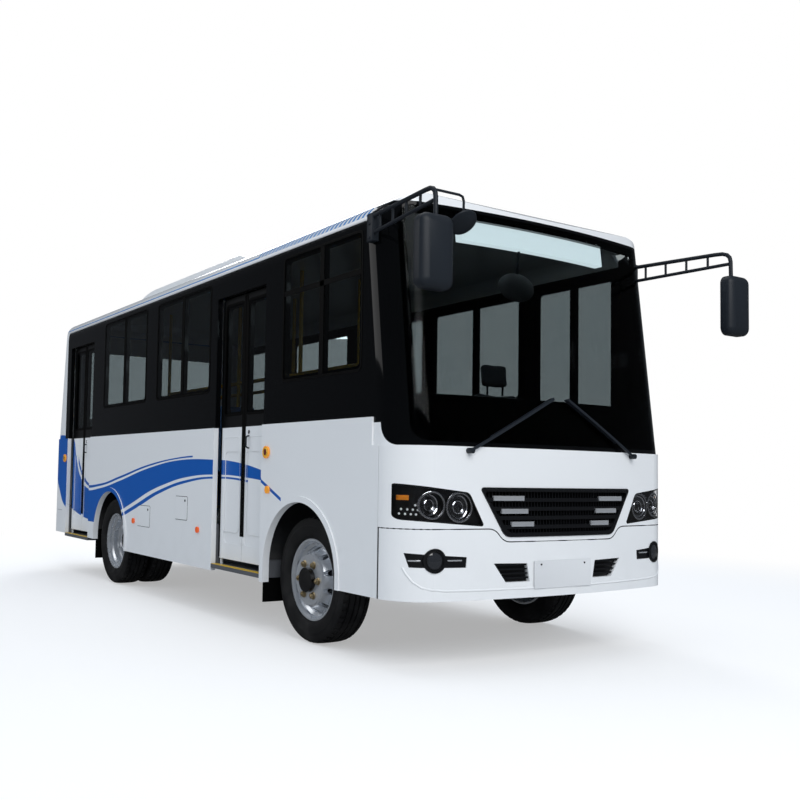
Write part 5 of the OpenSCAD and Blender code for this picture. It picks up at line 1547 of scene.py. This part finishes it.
@dataclass
class Doors(Assembly):
    """Rubber edges, beads, handles and step edges of the two doorways."""

    front_start: float = -1.277
    rear_start: float = -1.395
    width: float = 0.762
    leaf: float = 0.372
    jamb: float = 0.006
    face: float = -1.060
    low: float = 0.440
    high: float = 2.397
    strip: float = 0.026
    proud: float = 0.003
    pane_x: Pair = (0.057, 0.347)
    pane_z: Pair = (1.503, 2.356)
    bead_in: float = 0.050
    bead_z: Pair = (0.640, 1.350)
    foot_z: Pair = (0.560, 0.612)
    handle_in: float = 0.078
    lock_z: float = 1.378
    rubber_low: float = 0.620
    nosing_in: float = 0.012
    nosing_y: Pair = (-1.119, -1.078)
    nosing_z: Pair = (0.3945, 0.3985)

    def build(self) -> None:
        """Fits both doorways."""
        places = (
            (self.layout.ahead(self.front_start), "front", Body.FRONT_DOOR_REAR, Body.FRONT_DOOR_FRONT),
            (self.layout.rear_axle + self.rear_start, "rear", Body.REAR_DOOR_REAR, Body.REAR_DOOR_FRONT))
        near, far = self.pane_x
        for start, label, rear, front in places:
            end = start + self.width
            back, fore = start + self.jamb, end - self.jamb
            self.edges(f"{label}_door_rear", rear, back, 1)
            self.edges(f"{label}_door_front", front, fore, -1)
            self.pane_frame(f"{label}_door_rear", rear, start + near, start + far)
            self.pane_frame(f"{label}_door_front", front, end - far, end - near)
            self.pressing(f"{label}_door_rear", rear, back + self.bead_in, back + self.leaf - self.bead_in)
            self.pressing(f"{label}_door_front", front, fore - self.leaf + self.bead_in, fore - self.bead_in)
            self.handle(f"{label}_door_handle", front, fore - self.leaf + self.handle_in)
            self.nosing(f"{label}_step_nosing", start, end)

    def edges(self, name: str, body: Body, hinge_edge: float, way: int) -> None:
        """Lays rubber strips along a leaf's hinge edge and meeting edge.

        Args:
            name: Name of the leaf.
            body: Its body.
            hinge_edge: X of its hinge edge.
            way: 1 where the leaf runs forwards from there, else -1.
        """
        parts = []
        for start, wide, low in ((0.006, 0.016, self.low + 0.01),
                                 (self.leaf - self.strip, self.strip, self.rubber_low)):
            ends = sorted((hinge_edge + way * start, hinge_edge + way * (start + wide)))
            part = Bench.block(name, (ends[0], self.face - self.proud, low),
                               (ends[1], self.face + 0.001, self.high - 0.01))
            Bench.inset(part, lambda c, n: n.y < -FLAT, wide * 0.3, -0.001)
            Bench.soften(part, 0.0006, 1)
            parts.append(part)
        mount(Bench.join(f"{name}_rubbers", parts), body, self.palette.rubber)
        ends = sorted((hinge_edge + way * (self.leaf - self.strip), hinge_edge + way * self.leaf))
        foot = Bench.block(f"{name}_foot", (ends[0], self.face - 0.002, self.foot_z[0]),
                           (ends[1], self.face + 0.001, self.foot_z[1]))
        Bench.soften(foot, 0.0008)
        mount(foot, body, self.palette.white)

    def pane_frame(self, name: str, body: Body, rear: float, front: float) -> None:
        """Frames a leaf's pane with rubber."""
        obj = side_frame(f"{name}_pane_rubber", (rear - 0.006, self.pane_z[0]),
                         (front + 0.006, self.pane_z[1]), 0.036, 0.016, self.face + 0.001, -0.0035)
        Bench.soften(obj, 0.0008, 1)
        mount(obj, body, self.palette.rubber)

    def pressing(self, name: str, body: Body, rear: float, front: float) -> None:
        """Presses a rounded bead into a leaf's lower panel."""
        obj = side_frame(f"{name}_bead", (rear, self.bead_z[0]), (front, self.bead_z[1]), 0.045, 0.009,
                         self.face + 0.001, -0.0032)
        Bench.soften(obj, 0.0012)
        mount(obj, body, self.palette.leaf)

    def handle(self, name: str, body: Body, x: float) -> None:
        """Fits the bow handle and the lock's round plate."""
        inner, bend, out = self.face + 0.002, self.face - 0.014, self.face - 0.024
        line = ((inner, 1.262), (bend, 1.264), (out, 1.274), (out, 1.338), (bend, 1.348), (inner, 1.350))
        bow = Bench.pipe(name, [(x, y, z) for y, z in line], 0.006)
        mount(bow, body, self.palette.black)
        profile = ((0.001, 0.0), (0.001, 0.016), (-0.003, 0.015), (-0.004, 0.008), (-0.002, 0.006),
                   (-0.002, 0.0))
        lock = Bench.lathe(f"{name}_lock", (x, self.face, self.lock_z), Axis.Y, profile, 24)
        mount(lock, body, self.palette.chrome)

    def nosing(self, name: str, start: float, end: float) -> None:
        """Edges the low step with a ribbed yellow strip."""
        (outer, inner), (low, high) = self.nosing_y, self.nosing_z
        obj = Bench.block(name, (start + self.nosing_in, outer, low), (end - self.nosing_in, inner, high))
        Bench.select_faces(obj, lambda c, n: n.z > FLAT)
        bpy.ops.mesh.subdivide(number_cuts=6)
        Bench.inset(obj, lambda c, n: n.z > FLAT, 0.0015, -0.001)
        mount(obj, Body.BUS, self.palette.yellow)


@dataclass
class Wheels(Assembly):
    """Tyres with tread, and wheel nuts."""

    axle_z: float = 0.405
    steps: int = 96
    stud_circle: float = 0.111
    front_rows: tuple[float, ...] = (0.921,)
    rear_rows: tuple[float, ...] = (0.955, 0.700)
    front_face: float = 1.033
    rear_face: float = 0.8475
    shoulder_y: Pair = (0.067, 0.0955)
    shoulder_r: float = 0.39
    half_tyre: tuple[Pair, ...] = (
        (0.0797, 0.2479), (0.0797, 0.2626), (0.0925, 0.2650), (0.1010, 0.2740), (0.1065, 0.2900),
        (0.1105, 0.3120), (0.1128, 0.3390), (0.1128, 0.3460), (0.1108, 0.3490), (0.1104, 0.3560),
        (0.1080, 0.3720), (0.1040, 0.3850), (0.0990, 0.3935), (0.0900, 0.3995), (0.0680, 0.4030),
        (0.0655, 0.3940), (0.0580, 0.3940), (0.0555, 0.4040), (0.0240, 0.4048), (0.0215, 0.3945),
        (0.0140, 0.3945), (0.0115, 0.4050))

    def build(self) -> None:
        """Builds all wheels' fittings."""
        front = (self.layout.front_axle, self.front_rows, self.front_face)
        rear = (self.layout.rear_axle, self.rear_rows, self.rear_face)
        wheels = ((Side.RIGHT, Body.FRONT_WHEEL_RIGHT, "front_tyre_right", *front),
                  (Side.LEFT, Body.FRONT_WHEEL_LEFT, "front_tyre_left", *front),
                  (Side.RIGHT, Body.REAR_WHEELS_RIGHT, "rear_tyres_right", *rear),
                  (Side.LEFT, Body.REAR_WHEELS_LEFT, "rear_tyres_left", *rear))
        master = self.tyre()
        nut = self.nut()
        for side, body, node, axle, rows, face in wheels:
            tyres = [Bench.copy(master, node, Matrix.Translation((axle, side.value * y, self.axle_z)))
                     for y in rows]
            tyre = Bench.join(f"{node}_tread", tyres)
            Bench.smooth(tyre, 40)
            mount(tyre, body, self.palette.tyre)
            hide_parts(node)
            turn = Matrix.Rotation(math.pi if side is Side.RIGHT else 0, 4, "X")
            place = Matrix.Translation((axle, side.value * face, self.axle_z)) @ turn
            nuts = Bench.copy(nut, f"{body.value}_nuts", place)
            mount(nuts, body, self.palette.brass)
        for obj in (master, nut):
            bpy.data.objects.remove(obj)

    def tyre(self) -> Piece:
        """Spins a tyre about the origin and cuts its shoulder blocks.

        Returns:
            The tyre, its axis along Y.
        """
        half = self.half_tyre
        profile = [(-t, r) for t, r in half] + [(t, r) for t, r in reversed(half)]
        obj = Bench.lathe("tyre", ORIGIN, Axis.Y, profile + profile[:1], self.steps)
        pitch = 2 * math.pi / self.steps

        def shoulder(centre: Vector, normal: Vector) -> bool:
            """Picks every other face of the shoulders."""
            spot = int((math.atan2(centre.z, centre.x) + 2 * math.pi) / pitch)
            across = self.shoulder_y[0] < abs(centre.y) < self.shoulder_y[1]
            return across and math.hypot(centre.x, centre.z) > self.shoulder_r and spot % 2 == 0

        Bench.inset(obj, shoulder, 0.0025, -0.006)
        return obj

    def nut(self) -> Piece:
        """Makes the ring of six nuts with their washers and stud ends about the origin.

        Returns:
            The nuts, with their face at the origin and their ends along Y.
        """
        x = self.stud_circle
        profile = ((0.0, 0.006), (0.0, 0.025), (0.003, 0.024), (0.005, 0.019), (0.005, 0.006), (0.0, 0.006))
        washer = Bench.lathe("washer", (x, 0, 0), Axis.Y, profile, 24)
        nut = Bench.drum("nut", (x, 0.0105, 0), 0.0185, 0.019, Axis.Y, 6)
        Bench.soften(nut, 0.0015)
        stud = Bench.drum("stud", (x, 0.014, 0), 0.009, 0.024, Axis.Y, 16)
        Bench.soften(stud, 0.0015)
        obj = Bench.join("nuts", [washer, nut, stud])
        Bench.around(obj, ORIGIN, Axis.Y, 6)
        return obj


@dataclass
class Mirrors(Assembly):
    """Outside mirrors on their tubular arms, in place of the plain ones."""

    foot: Pair = (0.780, 1.128)
    splay: float = math.radians(8)
    rungs: tuple[float, ...] = (0.100, 0.250, 0.400, 0.550)
    head: tuple[float, float, float] = (1.455, 1.246, 2.2175)
    head_half: Pair = (0.1075, 0.1925)
    head_depth: float = 0.090
    disc: tuple[float, float, float] = (1.468, 1.031, 2.405)
    disc_r: float = 0.078
    disc_lean: float = math.radians(50)
    foot_x: Pair = (0.747, 0.813)
    foot_y: Pair = (1.102, 1.144)
    foot_up: Pair = (-0.158, 0.008)
    bolt_y: float = 1.148
    bolts_up: Pair = (-0.055, -0.135)
    upper: tuple[Pair, ...] = ((0.0, -0.010), (0.600, -0.018), (0.650, -0.021), (0.680, -0.032),
                               (0.698, -0.052), (0.704, -0.080), (0.706, -0.205))
    lower: tuple[Pair, ...] = ((0.0, -0.108), (0.600, -0.096), (0.704, -0.094))
    rung_up: Pair = (-0.102, -0.014)

    def build(self) -> None:
        """Builds both mirrors and the round one on the right."""
        parts = []
        for side in Side:
            parts += self.arm(side) + [self.case(side)]
        parts += self.round_mirror()
        obj = Bench.join("mirror_arms", parts)
        mount(obj, Body.BUS, self.palette.black)
        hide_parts("mirrors")
        for side in Side:
            self.glass(side)

    def arm(self, side: Side) -> list[Piece]:
        """Bends the two tubes of an arm, with rungs and foot.

        Args:
            side: Side of the bus.

        Returns:
            The arm's parts.
        """
        x0, gutter = self.layout.ahead(self.foot[0]), self.layout.gutter

        def spot(along: float, up: float) -> tuple[float, float, float]:
            """Finds a place along the arm, measured from its foot and the gutter."""
            out = self.foot[1] + along * math.sin(self.splay)
            return x0 + along * math.cos(self.splay), side.value * out, gutter + up

        parts = [Bench.pipe("upper", [spot(*place) for place in self.upper], 0.013),
                 Bench.pipe("lower", [spot(*place) for place in self.lower], 0.011)]
        parts += [Bench.pipe("rung", [spot(at, up) for up in self.rung_up], 0.008) for at in self.rungs]
        inner, outer = side.span(*self.foot_y)
        (rear, front), (low, high) = self.foot_x, self.foot_up
        foot = Bench.block("foot", (self.layout.ahead(rear), inner, gutter + low),
                           (self.layout.ahead(front), outer, gutter + high))
        Bench.inset(foot, lambda c, n: side.value * n.y > FLAT, 0.012, 0.003)
        Bench.soften(foot, 0.005)
        parts.append(foot)
        for up in self.bolts_up:
            bolt = Bench.drum("bolt", (x0, side.value * self.bolt_y, gutter + up), 0.009, 0.010, Axis.Y, 6)
            Bench.soften(bolt, 0.001)
            parts.append(bolt)
        return parts

    def case(self, side: Side) -> Piece:
        """Shapes a mirror's case with a rounded front.

        Args:
            side: Side of the bus.

        Returns:
            The case.
        """
        x, y, z = self.layout.ahead(self.head[0]), side.value * self.head[1], self.head[2]
        (a, b) = self.head_half
        outline = [(x, p, q) for p, q in round_rect((y - a, z - b), (y + a, z + b), 0.050, 6)]
        obj = Bench.prism("case", outline, (self.head_depth - 0.030, 0, 0))
        Bench.inset(obj, lambda c, n: n.x > FLAT, 0.016, 0.016)
        Bench.inset(obj, lambda c, n: n.x > FLAT and c.x > x + 0.07, 0.026, 0.012)
        Bench.inset(obj, lambda c, n: n.x < -FLAT, 0.010, -0.006)
        Bench.soften(obj, 0.010, 4)
        Bench.smooth(obj, 60)
        return obj

    def round_mirror(self) -> list[Piece]:
        """Hangs the round mirror beside the right case.

        Returns:
            Its parts.
        """
        x, y, z = self.layout.ahead(self.disc[0]), -self.disc[1], self.disc[2]
        r = self.disc_r
        profile = ((-0.011, 0.0), (-0.011, r - 0.006), (-0.008, r), (-0.001, r - 0.002), (0.007, r * 0.7),
                   (0.011, r * 0.35), (0.012, 0.0))
        dish = Bench.lathe("dish", ORIGIN, Axis.X, profile, 40)
        place = Matrix.Translation((x, y, z)) @ Matrix.Rotation(self.disc_lean, 4, "Y")
        placed = Bench.copy(dish, "round_mirror", place)
        bpy.data.objects.remove(dish)
        Bench.smooth(placed, 50)
        top = self.layout.gutter - 0.040
        line = ((-self.head[1] + 0.012, top), (y - 0.030, top), (y - 0.008, top - 0.006), (y, top - 0.028),
                (y, z))
        return [placed, Bench.pipe("bar", [(x, p, q) for p, q in line], 0.007)]

    def glass(self, side: Side) -> None:
        """Sets the glass into a case."""
        x, y, z = self.layout.ahead(self.head[0]) + 0.004, side.value * self.head[1], self.head[2]
        (a, b) = (v - 0.016 for v in self.head_half)
        outline = [(x, p, q) for p, q in round_rect((y - a, z - b), (y + a, z + b), 0.038)]
        plate = Bench.prism(f"mirror_glass_{side.label}", outline, (-0.005, 0, 0))
        Bench.soften(plate, 0.0015)
        mount(plate, Body.BUS, self.palette.mirror)


@dataclass
class SideTrim(Assembly):
    """Gutters, hatches and door buttons along the sides."""

    hatches: tuple[tuple[float, float, float, float], ...] = (
        (-2.800, -2.514, 0.595, 0.775), (-1.960, -1.730, 0.697, 0.881))
    gutter_x: Pair = (-1.50, 0.690)
    button_out: float = 0.014
    buttons: tuple[Pair, ...] = ((-0.435, 1.227), (-5.000, 1.205))

    def build(self) -> None:
        """Builds all side trim."""
        for side in Side:
            self.gutter(side)
            for number, hatch in enumerate(self.hatches):
                self.hatch(side, number, *hatch)
        for number, (x, z) in enumerate(self.buttons):
            self.button(number, self.layout.ahead(x), z)

    def gutter(self, side: Side) -> None:
        """Runs the drip moulding along the roof's edge."""
        face = side.value * (self.layout.half_w - self.layout.belt_step)
        z = self.layout.gutter
        profile = [(0.0, -0.010), (0.006, -0.010), (0.008, -0.004), (0.008, 0.008), (0.0, 0.012)]
        start, end = self.layout.rear_axle + self.gutter_x[0], self.layout.ahead(self.gutter_x[1])
        outline = [(start, face - side.value * (0.004 - out), z + up) for out, up in profile]
        obj = Bench.prism(f"gutter_{side.label}", outline, (end - start, 0, 0))
        Bench.soften(obj, 0.001)
        mount(obj, Body.BUS, self.palette.white)

    def hatch(self, side: Side, number: int, rear: float, front: float, low: float, high: float) -> None:
        """Hangs a service hatch with its lock."""
        a, w = self.layout.ahead, side.value * self.layout.half_w
        out = side.value
        name = f"hatch_{side.label}_{number}"
        outline = [(x, w - out * 0.001, z) for x, z in round_rect((a(rear), low), (a(front), high), 0.012)]
        panel = Bench.prism(name, outline, (0, out * 0.004, 0))
        Bench.inset(panel, lambda c, n: out * n.y > FLAT, 0.008, 0.0)
        Bench.soften(panel, 0.0008)
        mount(panel, Body.BUS, self.palette.sides)
        edge = side_frame(f"{name}_seal", (a(rear) - 0.004, low - 0.004), (a(front) + 0.004, high + 0.004),
                          0.016, 0.004, w - out * 0.001, out * 0.0018)
        mount(edge, Body.BUS, self.palette.rubber)
        x, z = a(front) - 0.04, high - 0.03
        profile = ((0.0, 0.0), (0.0, 0.011), (0.003, 0.010), (0.0035, 0.004), (0.002, 0.003), (0.002, 0.0))
        lock = Bench.lathe(f"{name}_lock", (x, w + out * 0.002, z), Axis.Y,
                           [(out * t, r) for t, r in profile], 20)
        mount(lock, Body.BUS, self.palette.black)

    def button(self, number: int, x: float, z: float) -> None:
        """Puts the rim and the dark push button on a door button's round plate."""
        spot = (x, -self.layout.half_w - self.button_out, z)
        shapes = (("button_rim", self.palette.yellow, "yellow_paint",
                   ((0.001, 0.022), (-0.004, 0.024), (-0.004, 0.029), (0.001, 0.031), (0.001, 0.022))),
                  ("button", self.palette.button, "black_plastic",
                   ((0.001, 0.0), (0.001, 0.022), (-0.002, 0.021), (-0.003, 0.012), (-0.0025, 0.0))))
        for label, finish, slot, profile in shapes:
            obj = Bench.lathe(f"{label}_{number}", spot, Axis.Y, profile, 32)
            Bench.smooth(obj)
            mount(obj, Body.BUS, finish)


@dataclass
class Rear(Assembly):
    """Lamp rings, and the lid's rubber, vents and grip."""

    overhang: float = 1.860
    lamp_y: float = 0.820
    lamps: tuple[Pair, ...] = ((0.880, 0.048), (1.095, 0.044), (1.255, 0.040))
    lid_half: float = 0.600
    lid_z: Pair = (0.720, 1.330)
    vent_half: float = 0.42
    vent_rows: int = 6
    vent_up: float = 0.06
    vent_pitch: float = 0.036
    grip_z: float = 1.15

    def build(self) -> None:
        """Builds the rear fittings."""
        face = self.layout.rear_axle - self.overhang
        self.lamp_rings(face)
        self.lid(face)
        self.vents(face)
        self.grip(face)

    def lamp_rings(self, face: float) -> None:
        """Rings the tail lamps, which stand proud of the face."""
        rings = []
        for side in Side:
            for z, r in self.lamps:
                profile = ((0.001, r), (-0.004, r - 0.002), (-0.004, r - 0.006), (0.001, r - 0.009),
                           (0.001, r))
                spot = (face - 0.014, side.value * self.lamp_y, z)
                rings.append(Bench.lathe("lamp_ring", spot, Axis.X, profile, 36))
        ring = Bench.join("tail_lamp_rings", rings)
        Bench.smooth(ring)
        mount(ring, Body.BUS, self.palette.chrome)

    def lid(self, face: float) -> None:
        """Lays the rubber round the rear lid."""
        corners = round_rect((-self.lid_half, self.lid_z[0]), (self.lid_half, self.lid_z[1]), 0.05)
        seam = Bench.prism("rear_lid_seal", [(face + 0.001, y, z) for y, z in corners], (-0.003, 0, 0))
        Bench.hollow(seam, lambda c, n: abs(n.x) > FLAT, 0.006)
        mount(seam, Body.BUS, self.palette.rubber)

    def vents(self, face: float) -> None:
        """Sets the rows of vents into the lid."""
        slats = []
        for row in range(self.vent_rows):
            z = self.lid_z[0] + self.vent_up + row * self.vent_pitch
            line = ((face + 0.001, z), (face - 0.008, z + 0.004), (face - 0.008, z + 0.009),
                    (face + 0.001, z + 0.024))
            outline = [(x, -self.vent_half, up) for x, up in line]
            slats.append(Bench.prism("vent", outline, (0, 2 * self.vent_half, 0)))
        vents = Bench.join("rear_vents", slats)
        Bench.soften(vents, 0.001, 1)
        mount(vents, Body.BUS, self.palette.black)

    def grip(self, face: float) -> None:
        """Bends the lid's grip."""
        line = ((face + 0.002, -0.09), (face - 0.022, -0.08), (face - 0.022, 0.08), (face + 0.002, 0.09))
        grip = Bench.pipe("rear_lid_grip", [(x, y, self.grip_z) for x, y in line], 0.007)
        mount(grip, Body.BUS, self.palette.black)


@dataclass
class Cabin(Assembly):
    """Driver's seat, inside mirror, instrument hood and entry rail."""

    pads: tuple[tuple[str, Point, Point, float, float], ...] = (
        ("driver_cushion", (0.165, 0.350, 0.322), (0.550, 0.760, 0.400), 0.0, 0.035),
        ("driver_back", (0.070, 0.352, 0.350), (0.150, 0.758, 1.020), -9.5, 0.035),
        ("driver_headrest", (-0.040, 0.442, 1.062), (0.030, 0.668, 1.225), -7.0, 0.028))
    posts_y: Pair = (0.480, 0.630)
    voxel: float = 0.006
    frames: int = 20
    pressure: float = 4.0
    cap: float = 0.022
    oval: Pair = (1.40, 0.82)
    mirror_y: float = -0.13
    mirror_z: float = 2.262
    mirror_back: float = 0.13
    header_z: float = 2.580
    rail: tuple[tuple[float, float, float], ...] = (
        (0.560, -1.045, 1.775), (0.580, -1.020, 1.775), (0.700, -0.985, 1.775), (0.760, -0.960, 1.765),
        (0.785, -0.945, 1.735), (0.790, -0.940, 1.700), (0.790, -0.940, 1.180))
    hood: tuple[Pair, ...] = ((0.0, 0.0), (0.02, 0.10), (0.10, 0.12), (0.20, 0.06), (0.22, 0.0))
    hood_y: float = 0.33
    hood_w: float = 0.46

    def build(self) -> None:
        """Builds what shows through the windscreen."""
        self.driver_seat()
        self.inside_mirror()
        self.binnacle()
        self.entry_rail()

    def spot(self, x: float, y: float, z: float) -> tuple[float, float, float]:
        """Finds a place given ahead of the front axle, from the middle and above the floor."""
        return self.layout.ahead(x), y, self.layout.floor_z + z

    def driver_seat(self) -> None:
        """Builds the padded driver's seat on its pedestal in place of the plain one."""
        base = Bench.block("driver_pedestal", self.spot(0.085, 0.335, 0.001), self.spot(0.515, 0.525, 0.300))
        Bench.inset(base, lambda c, n: abs(n.y) > FLAT or abs(n.x) > FLAT, 0.03, -0.006)
        Bench.soften(base, 0.004)
        pan = Bench.block("driver_pan", self.spot(0.075, 0.345, 0.298), self.spot(0.545, 0.765, 0.325))
        Bench.soften(pan, 0.008)
        posts = [Bench.tube("post", [self.spot(-0.002, y, 1.000), self.spot(0.0, y, 1.080)], 0.008)
                 for y in self.posts_y]
        body = Bench.join("driver_seat_frame", [base, pan, *posts])
        mount(body, Body.BUS, self.palette.black)
        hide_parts("driver_seat")
        for name, low, high, lean, edge in self.pads:
            self.pad(name, self.spot(*low), self.spot(*high), lean, edge)

    def pad(self, name: str, low: Point, high: Point, lean: float, edge: float) -> None:
        """Upholsters a pad: rounded, remeshed, blown up as cloth and smoothed.

        Args:
            name: Name of the pad.
            low: Lowest corner before it leans.
            high: Highest corner before it leans.
            lean: Lean about the pad's foot, in degrees.
            edge: Radius of its edges.
        """
        obj = Bench.block(name, low, high)
        foot = Vector(((low[0] + high[0]) / 2, 0, low[2]))
        obj.matrix_world = Bench.about(foot, Matrix.Rotation(math.radians(lean), 4, "Y"))
        Bench.settle(obj)
        Bench.modify(obj, "BEVEL", width=edge, segments=4, limit_method="ANGLE",
                     angle_limit=math.radians(SHARP))
        Bench.modify(obj, "REMESH", mode="VOXEL", voxel_size=self.voxel)
        self.blow_up(obj)
        Bench.modify(obj, "SUBSURF", levels=1, render_levels=1)
        Bench.pick(obj)
        bpy.ops.object.shade_smooth()
        mount(obj, Body.BUS, self.palette.cloth)

    def blow_up(self, obj: Piece) -> None:
        """Swells a pad with a short cloth run and caps how far its points move."""
        before = [v.co.copy() for v in obj.data.vertices]
        Bench.pick(obj)
        cloth = obj.modifiers.new("Cloth", "CLOTH")
        cloth.settings.use_pressure = True
        cloth.settings.uniform_pressure_force = self.pressure
        cloth.settings.effector_weights.gravity = 0
        cloth.point_cache.frame_end = self.frames
        scene = bpy.context.scene
        for number in range(1, self.frames + 1):
            scene.frame_set(number)
        bpy.ops.object.modifier_apply(modifier=cloth.name)
        scene.frame_set(1)
        for vertex, start in zip(obj.data.vertices, before):
            move = vertex.co - start
            if move.length > self.cap:
                vertex.co = start + move * (self.cap / move.length)

    def inside_mirror(self) -> None:
        """Hangs the oval inside mirror from the header."""
        y, z = self.mirror_y, self.mirror_z
        x = self.layout.screen(y, z) - self.mirror_back
        profile = ((-0.014, 0.0), (-0.012, 0.10), (-0.004, 0.108), (0.010, 0.098), (0.018, 0.05),
                   (0.020, 0.0))
        disc = Bench.lathe("inside_mirror", (x, y, z), Axis.X, profile, 40)
        disc.matrix_world = Bench.about((x, y, z), Matrix.Diagonal((1.0, *self.oval, 1.0)))
        Bench.settle(disc)
        Bench.smooth(disc, 50)
        mount(disc, Body.BUS, self.palette.liner)
        line = ((x, y, z + 0.06), (x + 0.01, y, z + 0.18), (x + 0.03, y, self.header_z))
        mount(Bench.pipe("inside_mirror_stalk", line, 0.008), Body.BUS, self.palette.black)

    def entry_rail(self) -> None:
        """Bends the yellow grab rail beside the screen's right end."""
        line = [(self.layout.ahead(x), y, z) for x, y, z in self.rail]
        mount(Bench.pipe("entry_rail", line, 0.016), Body.BUS, self.palette.yellow)

    def binnacle(self) -> None:
        """Sets the hooded instrument panel on the dashboard."""
        x, z = self.layout.ahead(0.860), self.layout.floor_z + 0.488
        outline = [(x + along, self.hood_y, z + up) for along, up in self.hood]
        hood = Bench.prism("instrument_hood", outline, (0, self.hood_w, 0))
        Bench.inset(hood, lambda c, n: n.x < -0.7, 0.012, -0.02)
        Bench.soften(hood, 0.008)
        mount(hood, Body.BUS, self.palette.grey)


@dataclass
class Studio:
    """Floor, world, lights and camera."""

    eye: tuple[float, float, float] = (7.071, -4.201, 1.0885)
    yaw: float = 58.05
    pitch: float = 3.08
    roll: float = 1.06
    lens: float = 41.96
    shift: Pair = (0.1035, 0.029)
    floor_size: float = 80.0
    lights: tuple[tuple[str, Point, Point, float, float], ...] = (
        ("key", (11.5, -3.0, 7.5), (2.0, 0.0, 1.3), 7.0, 775.0),
        ("top", (-1.0, 0.0, 12.0), (-1.0, 0.0, 0.0), 9.0, 330.0),
        ("side", (-6.0, -11.0, 6.5), (-1.5, -1.1, 1.6), 6.0, 210.0),
        ("rear", (-11.0, 6.0, 6.5), (-2.0, 0.0, 1.2), 5.0, 600.0),
    )
    pale: Colour = (0.58, 0.58, 0.58)
    sky: Colour = (0.47, 0.54, 0.63)
    mirrored: Colour = (0.08, 0.085, 0.095)
    white: Colour = (1.0, 1.0, 1.0)

    def build(self) -> None:
        """Sets the stage."""
        self.floor()
        self.world()
        for name, place, aim, size, power in self.lights:
            self.area(name, Vector(place), Vector(aim), size, power)
        self.camera()
        bpy.context.scene.view_settings.view_transform = "Standard"

    def floor(self) -> None:
        """Lays the pale floor."""
        Bench.clear()
        bpy.ops.mesh.primitive_plane_add(size=self.floor_size)
        obj = bpy.context.object
        obj.name = "studio_floor"
        dress(obj, StudioFloor("studio_floor", self.pale, 0.9, grain_shade=0.0, grain_bump=0.0))

    def world(self) -> None:
        """Lights all round evenly, white to the camera and dark in reflections."""
        world = bpy.data.worlds.new("studio")
        bpy.context.scene.world = world
        world.use_nodes = True
        nodes = Nodes(world.node_tree)
        background = world.node_tree.nodes["Background"]
        seen, glossy = nodes.in_view()
        shade = nodes.mix(seen, nodes.mix(glossy, self.sky, self.mirrored), self.white)
        nodes.link(shade, background.inputs["Color"])
        background.inputs["Strength"].default_value = 1.0

    def area(self, name: str, place: Vector, aim: Vector, size: float, power: float) -> None:
        """Hangs a square soft light.

        Args:
            name: Name of the light.
            place: Where it hangs.
            aim: Where it points.
            size: Length of its side.
            power: Its power in watts.
        """
        data = bpy.data.lights.new(name, "AREA")
        data.size = size
        data.energy = power
        lamp = bpy.data.objects.new(name, data)
        bpy.context.scene.collection.objects.link(lamp)
        lamp.location = place
        lamp.rotation_euler = (aim - place).to_track_quat("-Z", "Y").to_euler()

    def camera(self) -> None:
        """Sets the camera at the photograph's viewing angle."""
        data = bpy.data.cameras.new("camera")
        data.lens = self.lens
        data.shift_x, data.shift_y = self.shift
        camera = bpy.data.objects.new("camera", data)
        bpy.context.scene.collection.objects.link(camera)
        turn = Matrix.Rotation(math.radians(self.yaw), 4, "Z")
        tilt = Matrix.Rotation(math.radians(90 + self.pitch), 4, "X")
        lean = Matrix.Rotation(math.radians(self.roll), 4, "Z")
        camera.matrix_world = Matrix.Translation(Vector(self.eye)) @ turn @ tilt @ lean
        bpy.context.scene.camera = camera


def main() -> None:
    """Builds the bus's looks in order."""
    logging.basicConfig(level=logging.INFO, format="%(message)s")
    layout = Layout()
    palette = Palette(layout)
    Bodywork(palette).build()
    for assembly in (FrontEnd, Glazing, Doors, Wheels, Mirrors, SideTrim, Rear, Cabin):
        assembly(palette, layout).build()
    Studio().build()


if __name__ == "__main__":
    main()
